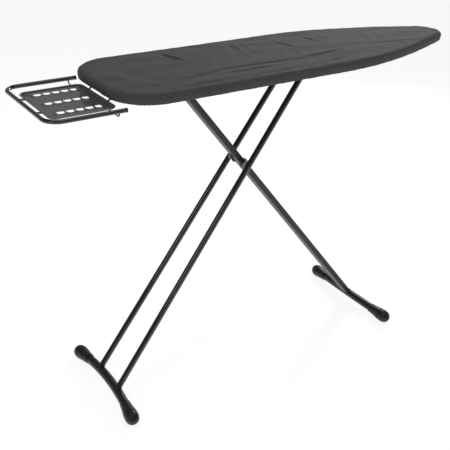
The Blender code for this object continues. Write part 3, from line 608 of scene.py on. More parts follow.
class Wardrobe:
    """Every finish, made once and given out by slot."""

    def __init__(self) -> None:
        """Mixes the finishes of this object."""
        finishes = {
            Slot.COVER: WovenCloth(),
            Slot.PAD: Felt(),
            Slot.STEEL: Paint("satin_black_powder_coat", (0.022, 0.021, 0.020), 0.42, grain=900,
                              ripple=0.12),
            Slot.ZINC: ZincPlate(),
            Slot.GLOSS: Paint("gloss_black_lacquer", (0.0025, 0.0024, 0.0025), 0.07, coat=0.6,
                              ripple=0.02, scuffs=0.06),
            Slot.SATIN: Paint("satin_brown_black_paint", (0.012, 0.0098, 0.0085), 0.40, ripple=0.06),
            Slot.FOOT: Paint("satin_black_foot_paint", (0.0075, 0.0072, 0.007), 0.36, ripple=0.05),
            Slot.TRAY: Paint("gloss_grey_enamel", (0.095, 0.088, 0.090), 0.18, coat=0.7,
                             ripple=0.03, grain=260, scuffs=0.05),
            Slot.PLASTIC: MouldedPlastic("black_moulded_plastic", (0.0085, 0.0082, 0.008)),
            Slot.NYLON: MouldedPlastic("natural_nylon", (0.62, 0.61, 0.57), 0.38),
        }
        self.materials = {slot: finish.material() for slot, finish in finishes.items()}

    def dress_frame(self) -> None:
        """Gives every node of the frame the finish that its record slot names."""
        for part in frame["record"]["subparts"]:
            obj = bpy.data.objects[part["node"]]
            material = self.materials[Slot(part["material_slot"])]
            if not obj.material_slots:
                obj.data.materials.append(material)
            for holder in obj.material_slots:
                holder.material = material

    def piece(self, name: str, surface: Surface, body: Body, slot: Slot,
              replaces: Sequence[str] = (), sharp: float = 40.0) -> bpy.types.Object:
        """Makes a finished piece out of a surface.

        Args:
            name: the piece's name.
            surface: its points and faces.
            body: the rigid body that it rides on.
            slot: the finish.
            replaces: frame nodes that it stands for.
            sharp: edges over this many degrees stay sharp.

        Returns:
            The new object.
        """
        mesh = surface.mesh(name)
        mesh.shade_smooth()
        mesh.set_sharp_from_angle(angle=math.radians(sharp))
        mesh.materials.append(self.materials[slot])
        obj = bpy.data.objects.new(name, mesh)
        bpy.context.scene.collection.objects.link(obj)
        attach(obj, body.value)
        if replaces:
            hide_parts(*replaces)
        log.info("%s: %d points, stands for %s", name, len(mesh.vertices), list(replaces) or "-")
        return obj


# Board --------------------------------------------------------------------------------


@dataclass(frozen=True)
class BoardOutline:
    """The board's plan: a straight wide end with round corners, a taper and a round nose."""

    centre_x: float
    wide_end: float = 0.555
    nose_end: float = 0.520
    half_width: float = 0.177
    corner: float = 0.105
    taper_start: float = 0.04
    nose_radius: float = 0.065
    nose_turn: float = math.radians(66)

    def half(self) -> Array:
        """The outline for y >= 0, dense, from the middle of the wide end to the nose's tip.

        The corner and the nose are arcs. The side between them falls by square t^2 +
        cubic t^3 from the taper's start, with both numbers set so that it meets the nose's
        arc at its place and slope.
        """
        end = -self.wide_end
        turn = math.pi - np.linspace(0, math.pi / 2, 60)
        corner = np.stack([end + self.corner + self.corner * np.cos(turn),
                           self.half_width - self.corner + self.corner * np.sin(turn)], 1)
        nose_x = self.nose_end - self.nose_radius
        tangent_x = nose_x + self.nose_radius * math.cos(self.nose_turn)
        run = tangent_x - self.taper_start
        slope = 1 / math.tan(self.nose_turn)
        drop = self.half_width - self.nose_radius * math.sin(self.nose_turn)
        cubic = (slope * run - 2 * drop) / run**3
        square = drop / run**2 - cubic * run
        t = np.linspace(0, run, 200)
        side = np.stack([self.taper_start + t, self.half_width - square * t**2 - cubic * t**3], 1)
        turn = self.nose_turn * (1 - np.linspace(0, 1, 80)[1:])
        nose = np.stack([nose_x + self.nose_radius * np.cos(turn),
                         self.nose_radius * np.sin(turn)], 1)
        return np.concatenate([[[end, 0]], corner, side, nose]) + (self.centre_x, 0)

    def ring(self, count: int) -> tuple[Array, Array, Array]:
        """Evenly spaced points round the board.

        Args:
            count: how many, an even number.

        Returns:
            The points, their outward unit normals, and their distances round the ring.
        """
        dense = self.half()
        at = np.concatenate([[0], np.cumsum(np.linalg.norm(np.diff(dense, axis=0), axis=1))])
        places = np.linspace(0, at[-1], count // 2 + 1)
        half = np.stack([np.interp(places, at, dense[:, k]) for k in (0, 1)], 1)
        half[[0, -1], 1] = 0
        ring = np.concatenate([half, half[-2:0:-1] * (1, -1)])[::-1]
        tangent = unit(np.roll(ring, -1, 0) - np.roll(ring, 1, 0))
        normal = np.stack([tangent[:, 1], -tangent[:, 0]], 1)
        return ring, normal, np.arange(count) * (2 * at[-1] / count)

    def inset(self, points: Array) -> Array:
        """How far points lie inside the outline, negative outside."""
        ring, normal, _ = self.ring(720)
        gaps = points[:, None] - ring[None]
        nearest = np.argmin((gaps**2).sum(-1), 1)
        rows = np.arange(len(points))
        return -(gaps[rows, nearest] * normal[nearest]).sum(1)


@dataclass(frozen=True)
class Crease:
    """One fold in the cloth: a soft ridge, or a furrow if its height is negative.

    Its height over a point is height exp(-(d / width)^2) times a taper that is 1 in the
    middle and 0 at its ends, d being the distance from its line.
    """

    start: tuple
    end: tuple
    height: float
    width: float

    def over(self, points: Array) -> Array:
        """The fold's height over points of the board, given as x from its middle, and y."""
        a, b = np.array(self.start), np.array(self.end)
        run = b - a
        share = ((points - a) @ run) / (run @ run)
        away = np.linalg.norm(points - a - np.clip(share, 0, 1)[:, None] * run, axis=1)
        taper = smooth_step(1.6 * share) * smooth_step(1.6 * (1 - share)) / smooth_step(np.array(0.8))**2
        return self.height * np.exp(-((away / self.width) ** 2)) * taper


@dataclass
class Cover:
    """The gathered cloth cover and the felt pad under it."""

    wardrobe: Wardrobe
    outline: BoardOutline
    points_round: int = 900
    rings_across: int = 40
    edge_width: float = 12.0 * MM
    edge_depth: float = 9.0 * MM
    nose_softness: float = 0.5
    below_frame: float = 4.0 * MM
    cloth: float = 0.9 * MM
    tuck: float = 3.0 * MM
    hem: float = 9.0 * MM
    settle_frames: int = 14
    oversize: float = 0.0004
    slack_band: float = 12.0 * MM
    most_move: float = 1.6 * MM
    pressed: float = 2.9 * MM
    deepest: float = 3.3 * MM

    def __post_init__(self) -> None:
        """Reads the heights from the frame's own cover and pad."""
        low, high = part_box("cover")
        self.top, self.bottom = high.z, low.z - self.below_frame

    def folds(self) -> list[Crease]:
        """The folds listed, as x from the board's middle and y, in metres.

        A bundle runs lengthwise near the near side, one long furrow follows that edge,
        short folds cross the board from the far edge, and a few lie by the nose.
        """
        line, soft, broad = 4.5 * MM, 7.0 * MM, 13.0 * MM
        return [
            Crease((-0.47, -0.120), (-0.22, -0.066), -1.9 * MM, line),
            Crease((-0.47, -0.109), (-0.22, -0.056), 1.6 * MM, line),
            Crease((-0.30, -0.072), (0.02, -0.084), -1.9 * MM, line),
            Crease((-0.30, -0.062), (0.02, -0.074), 1.5 * MM, line),
            Crease((-0.08, -0.087), (0.19, -0.060), -2.0 * MM, line),
            Crease((-0.08, -0.077), (0.19, -0.050), 1.5 * MM, line),
            Crease((-0.46, -0.126), (-0.26, -0.099), -1.4 * MM, line),
            Crease((-0.34, -0.103), (-0.05, -0.112), -1.7 * MM, line),
            Crease((-0.34, -0.095), (-0.05, -0.104), 1.3 * MM, line),
            Crease((-0.13, -0.114), (0.12, -0.058), -1.6 * MM, line),
            Crease((-0.40, -0.093), (-0.10, -0.064), -1.2 * MM, line),
            Crease((-0.49, -0.157), (-0.22, -0.151), -2.0 * MM, soft),
            Crease((-0.28, -0.152), (0.02, -0.154), -1.8 * MM, soft),
            Crease((-0.44, -0.141), (-0.02, -0.140), 1.2 * MM, broad),
            Crease((-0.315, 0.160), (-0.290, 0.000), 2.6 * MM, line),
            Crease((-0.329, 0.158), (-0.304, 0.020), -2.2 * MM, soft),
            Crease((-0.275, 0.158), (-0.150, 0.128), -2.6 * MM, broad),
            Crease((-0.090, 0.158), (-0.142, 0.000), 1.9 * MM, soft),
            Crease((-0.108, 0.150), (-0.158, 0.030), -1.8 * MM, soft),
            Crease((-0.070, 0.140), (-0.112, 0.000), 1.5 * MM, line),
            Crease((-0.130, 0.155), (0.050, 0.118), -2.3 * MM, broad),
            Crease((0.010, 0.110), (0.036, -0.015), 1.7 * MM, soft),
            Crease((-0.008, 0.110), (0.018, 0.000), -1.5 * MM, soft),
            Crease((0.020, 0.132), (0.155, 0.106), -2.2 * MM, broad),
            Crease((0.108, 0.125), (0.119, 0.020), 1.6 * MM, soft),
            Crease((0.092, 0.120), (0.103, 0.035), -1.4 * MM, soft),
            Crease((0.166, 0.130), (0.162, 0.035), 1.3 * MM, soft),
            Crease((-0.455, 0.098), (-0.365, 0.143), 1.6 * MM, soft),
            Crease((-0.440, 0.088), (-0.372, 0.122), -1.5 * MM, soft),
            Crease((-0.515, 0.080), (-0.486, -0.090), 2.4 * MM, 22 * MM),
            Crease((-0.470, 0.060), (-0.440, -0.100), -2.2 * MM, 22 * MM),
            Crease((-0.05, -0.137), (0.12, -0.139), -1.6 * MM, line),
            Crease((-0.04, -0.150), (0.12, -0.104), 1.7 * MM, line),
            Crease((0.00, -0.152), (0.15, -0.106), -1.5 * MM, line),
            Crease((0.04, -0.150), (0.17, -0.112), 1.5 * MM, line),
            Crease((0.19, -0.046), (0.41, -0.070), 1.0 * MM, soft),
            Crease((0.19, -0.056), (0.41, -0.080), -0.9 * MM, soft),
        ]

    def surface(self) -> Surface:
        """The cover as rings round the board.

        From the middle line outwards the rings are the outline shrunk towards it. Past
        that the section is a quarter of an ellipse, wider round the nose, a side that
        leans in by the tuck, and a hem rolled under it. Gathers push each ring out and in
        along the outline's normal by a sum of waves, strongest at the elastic and where
        the outline curves.
        """
        ring, normal, at = self.outline.ring(self.points_round)
        period = at[1] * len(at)
        middle = np.stack([np.clip(ring[:, 0], self.outline.centre_x - 0.43,
                                   self.outline.centre_x + 0.45), np.zeros(len(ring))], 1)
        nose = smooth_step((ring[:, 0] - self.outline.centre_x - 0.30) / 0.22)
        width = self.edge_width * (1 + self.nose_softness * nose)
        flat_edge = ring - normal * width[:, None]
        share = (np.linspace(0, 1, self.rings_across) ** 0.9)[:, None, None]
        flat = middle + share * (flat_edge - middle)
        turn = np.linspace(0, math.pi / 2, 10)[1:]
        side = np.linspace(0, 1, 9)[1:]
        roll = np.linspace(0, math.pi, 6)[1:]
        deep, drop = self.edge_depth, self.top - self.bottom
        lip = 1.6 * MM
        inward = np.concatenate([
            (1 - np.sin(turn))[:, None] * width, (self.tuck * side**2)[:, None] + 0 * width,
            (self.tuck + lip * (1 - np.cos(roll)))[:, None] + 0 * width,
            (self.tuck + 2 * lip + self.hem * np.array([0.5, 1.0]))[:, None] + 0 * width,
        ])
        fall = np.concatenate([
            deep * (1 - np.cos(turn)), deep + (drop - lip - deep) * side,
            drop - lip + lip * np.sin(roll), drop - lip - np.array([1.0, 1.6]) * MM,
        ])
        curved = self.bend_of(normal)
        fine = wave_sum(at, period, (211, 247, 283, 301, 339, 367), 3)
        broad = wave_sum(at, period, (23, 31, 44, 57, 71), 5)
        gather = 0.35 + 1.0 * curved
        depth = smooth_step((fall - 2 * MM) / (drop - 2 * MM))[:, None]
        push = depth * (gather * fine * 0.9 * MM)[None] + depth**0.7 * (broad * 0.3 * MM)[None]
        lift = (depth**2 * (wave_sum(at, period, (19, 27, 38, 61, 90, 130), 8) * 0.2 * MM)[None])
        rim = ring[None] + normal[None] * (push - inward)[..., None]
        heights = self.top - fall[:, None] + lift
        top = np.concatenate([flat, np.full((*flat.shape[:2], 1), self.top)], 2)
        skirt = np.concatenate([rim, heights[..., None]], 2)
        grid = np.concatenate([top, skirt])
        grid[..., 2] += self.relief(grid, fine, broad, curved, depth)
        return Surface.from_grid(grid)

    @staticmethod
    def bend_of(normal: Array) -> Array:
        """How sharply the outline turns, from 0 on a straight side to 1 on a corner."""
        turn = np.linalg.norm(np.roll(normal, -3, 0) - np.roll(normal, 3, 0), axis=1)
        wide = np.convolve(np.tile(turn, 3), np.ones(41) / 41, "same")[len(turn):2 * len(turn)]
        return np.clip(wide / 0.14, 0, 1)

    def relief(self, grid: Array, fine: Array, broad: Array, curved: Array, depth: Array) -> Array:
        """The top's own unevenness: folds, slack, and gathers that run in from the edge.

        Args:
            grid: the cover's points, ring by ring.
            fine: the gathers' waves round the board.
            broad: the slack's waves round the board.
            curved: how sharply the outline turns.
            depth: how far down the side each ring of the skirt is.

        Returns:
            A rise for every point, 0 on the skirt.
        """
        flat = grid[..., :2].reshape(-1, 2) - (self.outline.centre_x, 0)
        rise = sum(fold.over(flat) for fold in self.folds())
        x, y = flat.T
        rise = rise + 0.35 * MM * np.sin(TAU * (y / 0.083 + 0.25 * np.sin(TAU * x / 0.9)))
        rise += 0.30 * MM * np.sin(TAU * (x / 0.31 + y / 0.12)) * np.sin(TAU * y / 0.21 + 1.3)
        rise += 0.22 * MM * np.sin(TAU * (x / 0.062 - y / 0.11) + 2 * np.sin(TAU * x / 0.27))
        rise = rise.reshape(grid.shape[:2])
        across = np.concatenate([np.linspace(0, 1, self.rings_across), np.ones(len(depth))])
        edge = smooth_step((across - 0.72) / 0.28)[:, None]
        rise += edge * (0.25 + curved) * (0.35 * fine + 0.25 * broad)[None] * MM
        fade = np.concatenate([np.ones((self.rings_across, 1)), 1 - smooth_step(2.5 * depth)])
        rise = np.where(rise < 0, self.deepest * np.tanh(rise / self.deepest), rise)
        return rise * fade

    def settle(self, obj: bpy.types.Object) -> None:
        """Lets the cloth settle by a short cloth simulation, with its side held.

        The sheet is cut very slightly larger than its place, and nothing but its own
        stiffness acts on it, so it moves by less than a millimetre: the folds that show
        are those of relief(). The move is capped, and is nothing at the held edge.

        Args:
            obj: the cover, before its thickness is added.
        """
        mesh = obj.data
        before = np.empty(len(mesh.vertices) * 3)
        mesh.vertices.foreach_get("co", before)
        before = before.reshape(-1, 3)
        held = 1 - smooth_step((self.outline.inset(before[:, :2]) - self.edge_width) / self.slack_band)
        group = obj.vertex_groups.new(name="held")
        for index, weight in enumerate(held):
            group.add([index], float(weight), "REPLACE")
        cloth = obj.modifiers.new("settle", "CLOTH")
        settings = cloth.settings
        settings.quality = 4
        settings.mass = 0.2
        settings.tension_stiffness = settings.compression_stiffness = 30
        settings.shear_stiffness = 12
        settings.bending_stiffness = 0.8
        settings.shrink_min = -self.oversize
        settings.vertex_group_mass = group.name
        settings.effector_weights.gravity = 0.0
        cloth.collision_settings.use_collision = False
        cloth.collision_settings.use_self_collision = False
        cloth.point_cache.frame_start, cloth.point_cache.frame_end = 1, self.settle_frames
        scene = bpy.context.scene
        for step in range(1, self.settle_frames + 1):
            scene.frame_set(step)
        settled = obj.evaluated_get(bpy.context.evaluated_depsgraph_get()).data
        after = np.empty_like(before)
        settled.vertices.foreach_get("co", after.reshape(-1))
        move = after - before
        length = np.linalg.norm(move, axis=1, keepdims=True)
        move *= self.most_move / np.maximum(length, self.most_move) * (1 - held)[:, None]
        logging.info("cloth settled: %.2f mm at most, %.2f mm on average",
                     float(length.max() / MM), float(length.mean() / MM))
        obj.modifiers.remove(cloth)
        obj.vertex_groups.remove(group)
        after = before + move
        top = self.outline.inset(before[:, :2]) > self.edge_width
        after[top, 2] = np.maximum(after[top, 2], self.top - self.deepest)
        mesh.vertices.foreach_set("co", after.reshape(-1))
        mesh.update()
        scene.frame_set(1)

    def build(self) -> None:
        """Makes the cover and the pad."""
        cover = self.wardrobe.piece("cover_cloth", self.surface(), Body.BOARD, Slot.COVER,
                                    ["cover"], sharp=180)
        merge_close(cover.data, 1e-6)
        self.settle(cover)
        wall = cover.modifiers.new("cloth", "SOLIDIFY")
        wall.thickness = self.cloth
        wall.offset = -1
        self.pad()

    def pad(self) -> None:
        """The pad, pressed thin by the stretched cloth: two flat faces and a soft edge."""
        low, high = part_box("pad")
        high.z -= self.pressed
        ring, normal, _ = self.outline.ring(360)
        half = (high.z - low.z) / 2
        edge = self.outline.half_width - high.y
        turn = np.linspace(-math.pi / 2, math.pi / 2, 9)
        inward = edge + half * (1 - np.cos(turn))
        rim = ring[None] - normal[None] * inward[:, None, None]
        heights = np.broadcast_to((low.z + half + half * np.sin(turn))[:, None, None],
                                  (*rim.shape[:2], 1))
        middle = np.stack([np.clip(ring[:, 0], self.outline.centre_x - 0.43,
                                   self.outline.centre_x + 0.45), np.zeros(len(ring))], 1)
        share = np.linspace(0, 1, 14)[:-1, None, None]
        under = middle + share * (rim[0] - middle)
        over = (middle + share * (rim[-1] - middle))[::-1]
        grid = np.concatenate([
            np.concatenate([under, np.full((*under.shape[:2], 1), low.z)], 2),
            np.concatenate([rim, heights], 2),
            np.concatenate([over, np.full((*over.shape[:2], 1), high.z)], 2),
        ])
        pad = self.wardrobe.piece("felt_pad", Surface.from_grid(grid), Body.BOARD, Slot.PAD,
                                  ["pad"], sharp=180)
        merge_close(pad.data, 1e-6)


def merge_close(mesh: bpy.types.Mesh, distance: float) -> None:
    """Joins points of a mesh that lie within a distance, and turns its faces outwards."""
    work = bmesh.new()
    work.from_mesh(mesh)
    bmesh.ops.remove_doubles(work, verts=work.verts, dist=distance)
    bmesh.ops.recalc_face_normals(work, faces=work.faces)
    work.to_mesh(mesh)
    work.free()


@dataclass
class DeckAndRim:
    """The expanded steel deck and its rolled rim."""

    wardrobe: Wardrobe
    outline: BoardOutline
    cell_length: float = 17.0 * MM
    cell_width: float = 7.5 * MM
    strand: float = 1.5 * MM

    def build(self) -> None:
        """Makes the deck and the rim."""
        self.deck()
        self.rim()

    def deck(self) -> None:
        """Expanded steel: zigzag strands in mirrored pairs that touch at their knuckles.

        Strand k runs along X at y_k + (cell width / 4) s tri(x), where tri is a zigzag of
        one cell's length and s alternates from strand to strand. Each straight stretch is
        a small four-sided bar, kept where both its ends lie inside the rim.
        """
        low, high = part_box("deck")
        inset = self.outline.half_width - high.y + 2.0 * MM
        half_cell = self.cell_length / 2
        xs = np.arange(low.x, high.x, half_cell)
        ys = np.arange(-self.outline.half_width, self.outline.half_width, self.cell_width / 2)
        x, y = np.meshgrid(xs, ys, indexing="ij")
        column, row = np.meshgrid(np.arange(len(xs)), np.arange(len(ys)), indexing="ij")
        swing = np.where((column + row) % 2 == 0, 1, -1) * (self.cell_width / 4 - self.strand * 0.35)
        nodes = np.stack([x, y + swing], -1)
        start, end = nodes[:-1].reshape(-1, 2), nodes[1:].reshape(-1, 2)
        keep = (self.outline.inset(start) > inset) & (self.outline.inset(end) > inset)
        start, end = start[keep], end[keep]
        along = unit(end - start)
        side = np.stack([-along[:, 1], along[:, 0]], 1) * self.strand / 2
        start, end = start - along * self.strand * 0.3, end + along * self.strand * 0.3
        corners = np.stack([start - side, start + side, end + side, end - side], 1)
        lower = np.concatenate([corners, np.full((*corners.shape[:2], 1), low.z)], 2)
        upper = np.concatenate([corners, np.full((*corners.shape[:2], 1), high.z)], 2)
        points = np.concatenate([lower, upper], 1).reshape(-1, 3)
        faces = np.array([[0, 1, 2, 3], [7, 6, 5, 4], [0, 4, 5, 1], [1, 5, 6, 2],
                          [2, 6, 7, 3], [3, 7, 4, 0]])
        quads = (np.arange(len(start))[:, None, None] * 8 + faces).reshape(-1, 4)
        band, normal, _ = self.outline.ring(360)
        path = np.concatenate([band - normal * (inset + 1.5 * MM),
                               np.full((len(band), 1), (low.z + high.z) / 2)], 1)
        section = round_box(5.0 * MM, (high.z - low.z) / 2, 0.3 * MM, 2)
        frame_band = swept(path, section, (0, 0, 1), closed=True)
        self.wardrobe.piece("expanded_steel_deck", Surface(points, quads).joined(frame_band),
                            Body.BOARD, Slot.STEEL, ["deck"], sharp=30)

    def rim(self) -> None:
        """The rim: a thin upright band with a rolled lower edge, carried round the board."""
        low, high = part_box("rim")
        ring, normal, _ = self.outline.ring(480)
        wall = 1.25 * MM
        inset = self.outline.half_width - high.y + wall
        path = np.concatenate([ring - normal * inset, np.full((len(ring), 1), low.z)], 1)
        height = high.z - low.z
        bead = math.pi * np.linspace(-0.35, -1.85, 14)[:, None]
        roll = np.concatenate([np.cos(bead) * wall * 1.5, wall * 1.5 + np.sin(bead) * wall * 1.5], 1)
        section = np.concatenate([roll[::-1], [[-wall * 0.6, height], [wall * 0.6, height]]])
        self.wardrobe.piece("rolled_rim", swept(path, section, (0, 0, 1), closed=True),
                            Body.BOARD, Slot.STEEL, ["rim"])


# Legs ---------------------------------------------------------------------------------


@dataclass(frozen=True)
class LegLines:
    """The lines that the legs are drawn on, read from the frame's joints and boxes."""

    hinge: Array
    pivot: Array
    slide: Array
    oval_foot: Array
    twin_foot: Array

    @classmethod
    def read(cls) -> "LegLines":
        """Hinge and pivot from the joints; each foot from its bar's box."""
        joints = {joint["name"]: joint for joint in frame["record"]["behaviour"]["joints"]}
        hinge, pivot = (np.array(joints[name]["pos_m"], float) for name in ("fold", "twin_fold"))
        slide = np.array([2 * pivot[0] - hinge[0], 0, hinge[2]])
        down = unit(pivot - hinge)
        foot_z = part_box("oval_leg_foot_bar")[1].z - FootMaker.bar_radius
        reach = (pivot[2] - foot_z) / -down[2]
        mirrored = down * (-1, 1, 1)
        return cls(hinge, pivot, slide, pivot + down * reach, pivot + mirrored * reach)


@dataclass
class FootMaker:
    """A bowed foot bar with its flared sleeves and domed end caps."""

    wardrobe: Wardrobe
    body: Body
    centre: Array
    lean: int
    bar_radius: float = 12.0 * MM
    bow: float = 0.578
    tilt: float = math.radians(38)
    sleeve_start: float = 0.112
    seam: float = 0.155
    end: float = 0.187
    cap_radius: float = 18.5 * MM
    bar_half: float = 0.178

    def line(self, y: Array) -> Array:
        """The bar's middle line: it falls by bow y^2 to the sleeve and runs straight on."""
        y = np.asarray(y, float)
        curved = np.minimum(np.abs(y), self.sleeve_start)
        fall = self.bow * curved * (curved + 2 * (np.abs(y) - curved))
        return np.stack([self.centre[0] + self.lean * fall * math.cos(self.tilt), y,
                         self.centre[2] - fall * math.sin(self.tilt)], -1)

    def build(self) -> None:
        """Makes the bar and, at each end, a sleeve and a cap."""
        leg = self.body.value
        path = self.line(np.linspace(-self.bar_half, self.bar_half, 121))
        plane = (-math.sin(self.tilt) * self.lean, 0, -math.cos(self.tilt))
        self.wardrobe.piece(f"{leg}_bowed_bar", swept(path, circle(self.bar_radius, 40), plane),
                            self.body, Slot.FOOT, [f"{leg}_foot_bar"])
        for side in Side:
            self.end_pieces(leg, side)

    def end_pieces(self, leg: str, side: Side) -> None:
        """One sleeve and one cap, both turned about the bar's straight end.

        Args:
            leg: the leg's name.
            side: which end of the bar.
        """
        a, b = self.line(np.array([self.seam, self.end]) * side.value)
        along = unit(b - a)
        start = a - along * self.seam
        r = self.cap_radius
        bore = self.bar_radius + 0.4 * MM
        flare = eased([
            (self.sleeve_start, bore + 0.5 * MM), (self.sleeve_start + 0.8 * MM, bore + 1.2 * MM),
            (self.seam - 0.030, bore + 2.2 * MM), (self.seam - 0.020, bore + 3.4 * MM),
            (self.seam - 0.010, r - 1.3 * MM), (self.seam - 1.6 * MM, r - 0.5 * MM),
            (self.seam - 0.4 * MM, r - 1.1 * MM),
        ], 6)
        sleeve = np.concatenate([[(self.sleeve_start, bore)], flare, [(self.seam - 0.4 * MM, bore)]])
        self.wardrobe.piece(f"{leg}_flared_sleeve_{side.word}", closed_turning(sleeve, start, along),
                            self.body, Slot.PLASTIC, [f"{leg}_foot_sleeve_{side.word}"], sharp=50)
        dome = eased([
            (self.seam + 0.8 * MM, r - 1.6 * MM), (self.seam + 1.2 * MM, r - 0.9 * MM),
            (self.seam + 2.6 * MM, r - 0.2 * MM), (self.seam + 7 * MM, r),
            (self.seam + 13 * MM, r - 0.4 * MM), (self.seam + 19.5 * MM, r - 1.9 * MM),
            (self.seam + 25 * MM, r - 5.2 * MM), (self.seam + 28.8 * MM, r - 9.6 * MM),
            (self.end - 0.9 * MM, r - 13.5 * MM), (self.end, r - 17.6 * MM), (self.end, 0.0),
        ], 6)
        cap = np.concatenate([[(self.seam + 0.8 * MM, 0.0)], dome])
        groove = revolved([(self.seam - 0.6 * MM, 0), (self.seam - 0.6 * MM, r - 2.6 * MM),
                           (self.seam + 1.0 * MM, r - 2.6 * MM), (self.seam + 1.0 * MM, 0)],
                          start, along)
        whole = revolved(cap, start, along, 48).joined(groove)
        self.wardrobe.piece(f"{leg}_domed_cap_{side.word}", whole, self.body, Slot.PLASTIC,
                            [f"{leg}_foot_cap_{side.word}"], sharp=50)


def closed_turning(profile: Array, start: Array, along: Array, count: int = 48) -> Surface:
    """A closed profile turned about an axis into a ring, as revolved() describes."""
    ring = revolved(profile, start, along, count)
    rows = len(profile)
    grid = ring.points[:-2].reshape(rows, count, 3)
    return Surface.from_grid(grid, wrap_rows=True)


def weld_bead(line: Array, up: Array, size: float) -> Surface:
    """A weld's bead along a closed line: a small round section with ripples.

    Args:
        line: the joint's closed line.
        up: a direction that the line never runs along.
        size: the bead's radius.

    Returns:
        The bead's surface.
    """
    at = np.arange(len(line)) / len(line)
    ripples = 1 + 0.10 * np.sin(TAU * 26 * at) + 0.16 * wave_sum(at, 1.0, (2, 3, 5, 7), 11)
    return swept(line, circle(size, 12), up, closed=True, sizes=ripples)


@dataclass
class OvalLeg:
    """The single flat-oval leg with its hinge tube, pivot bosses and foot."""

    wardrobe: Wardrobe
    lines: LegLines
    width: float = 40.0 * MM
    depth: float = 16.3 * MM
    corner: float = 5.5 * MM
    hinge_radius: float = 8.0 * MM
    hinge_half: float = 28.5 * MM
    boss_radius: float = 9.2 * MM
    boss_end: float = 35.5 * MM

    def build(self) -> None:
        """Makes the leg tube, the hinge tube, the bosses, the welds and the foot."""
        hinge, foot = self.lines.hinge, self.lines.oval_foot
        down = unit(foot - hinge)
        maker = FootMaker(self.wardrobe, Body.OVAL_LEG, foot, 1)
        maker.build()
        across = np.array([0.0, 1.0, 0.0])
        flat = np.cross(across, down)
        section = round_box(self.depth / 2, self.width / 2, self.corner, 10)
        offsets = section[:, :1] * flat + section[:, 1:] * across
        low = saddle(foot, -down, offsets, across, maker.bar_radius)
        high = saddle(hinge, down, offsets, across, self.hinge_radius)
        share = np.linspace(0, 1, 60)[:, None, None]
        grid = high[None] * (1 - share) + low[None] * share
        self.wardrobe.piece("flat_oval_tube", Surface.from_grid(grid[::-1]), Body.OVAL_LEG,
                            Slot.SATIN, ["oval_leg_tube"])
        tube = revolved([(-self.hinge_half, 5.2 * MM), (-self.hinge_half, 7.6 * MM),
                         (-self.hinge_half + 0.4 * MM, self.hinge_radius),
                         (self.hinge_half - 0.4 * MM, self.hinge_radius),
                         (self.hinge_half, 7.6 * MM), (self.hinge_half, 5.2 * MM)], hinge, across)
        self.wardrobe.piece("hinge_tube", tube, Body.OVAL_LEG, Slot.SATIN, ["oval_leg_hinge_tube"])
        beads = weld_bead(low, down, 1.5 * MM).joined(weld_bead(high, down, 1.3 * MM))
        self.wardrobe.piece("oval_leg_welds", beads, Body.OVAL_LEG, Slot.SATIN)
        for side in Side:
            self.boss(side)

    def boss(self, side: Side) -> None:
        """One pivot boss: a short turned bush with a weld fillet at its foot."""
        base, r, end = self.width / 2, self.boss_radius, self.boss_end
        profile = eased([
            (base - 0.2 * MM, r + 3.0 * MM), (base + 0.9 * MM, r + 1.5 * MM),
            (base + 2.4 * MM, r + 0.5 * MM), (base + 4.5 * MM, r), (end - 0.9 * MM, r),
            (end - 0.2 * MM, r - 0.4 * MM), (end, r - 1.0 * MM),
        ], 6)
        profile = np.concatenate([profile, [(end, 5.0 * MM)]])
        self.wardrobe.piece(f"pivot_bush_{side.word}",
                            revolved(profile, self.lines.pivot, (0, side.value, 0)),
                            Body.OVAL_LEG, Slot.SATIN, [f"pivot_boss_{side.word}"], sharp=60)


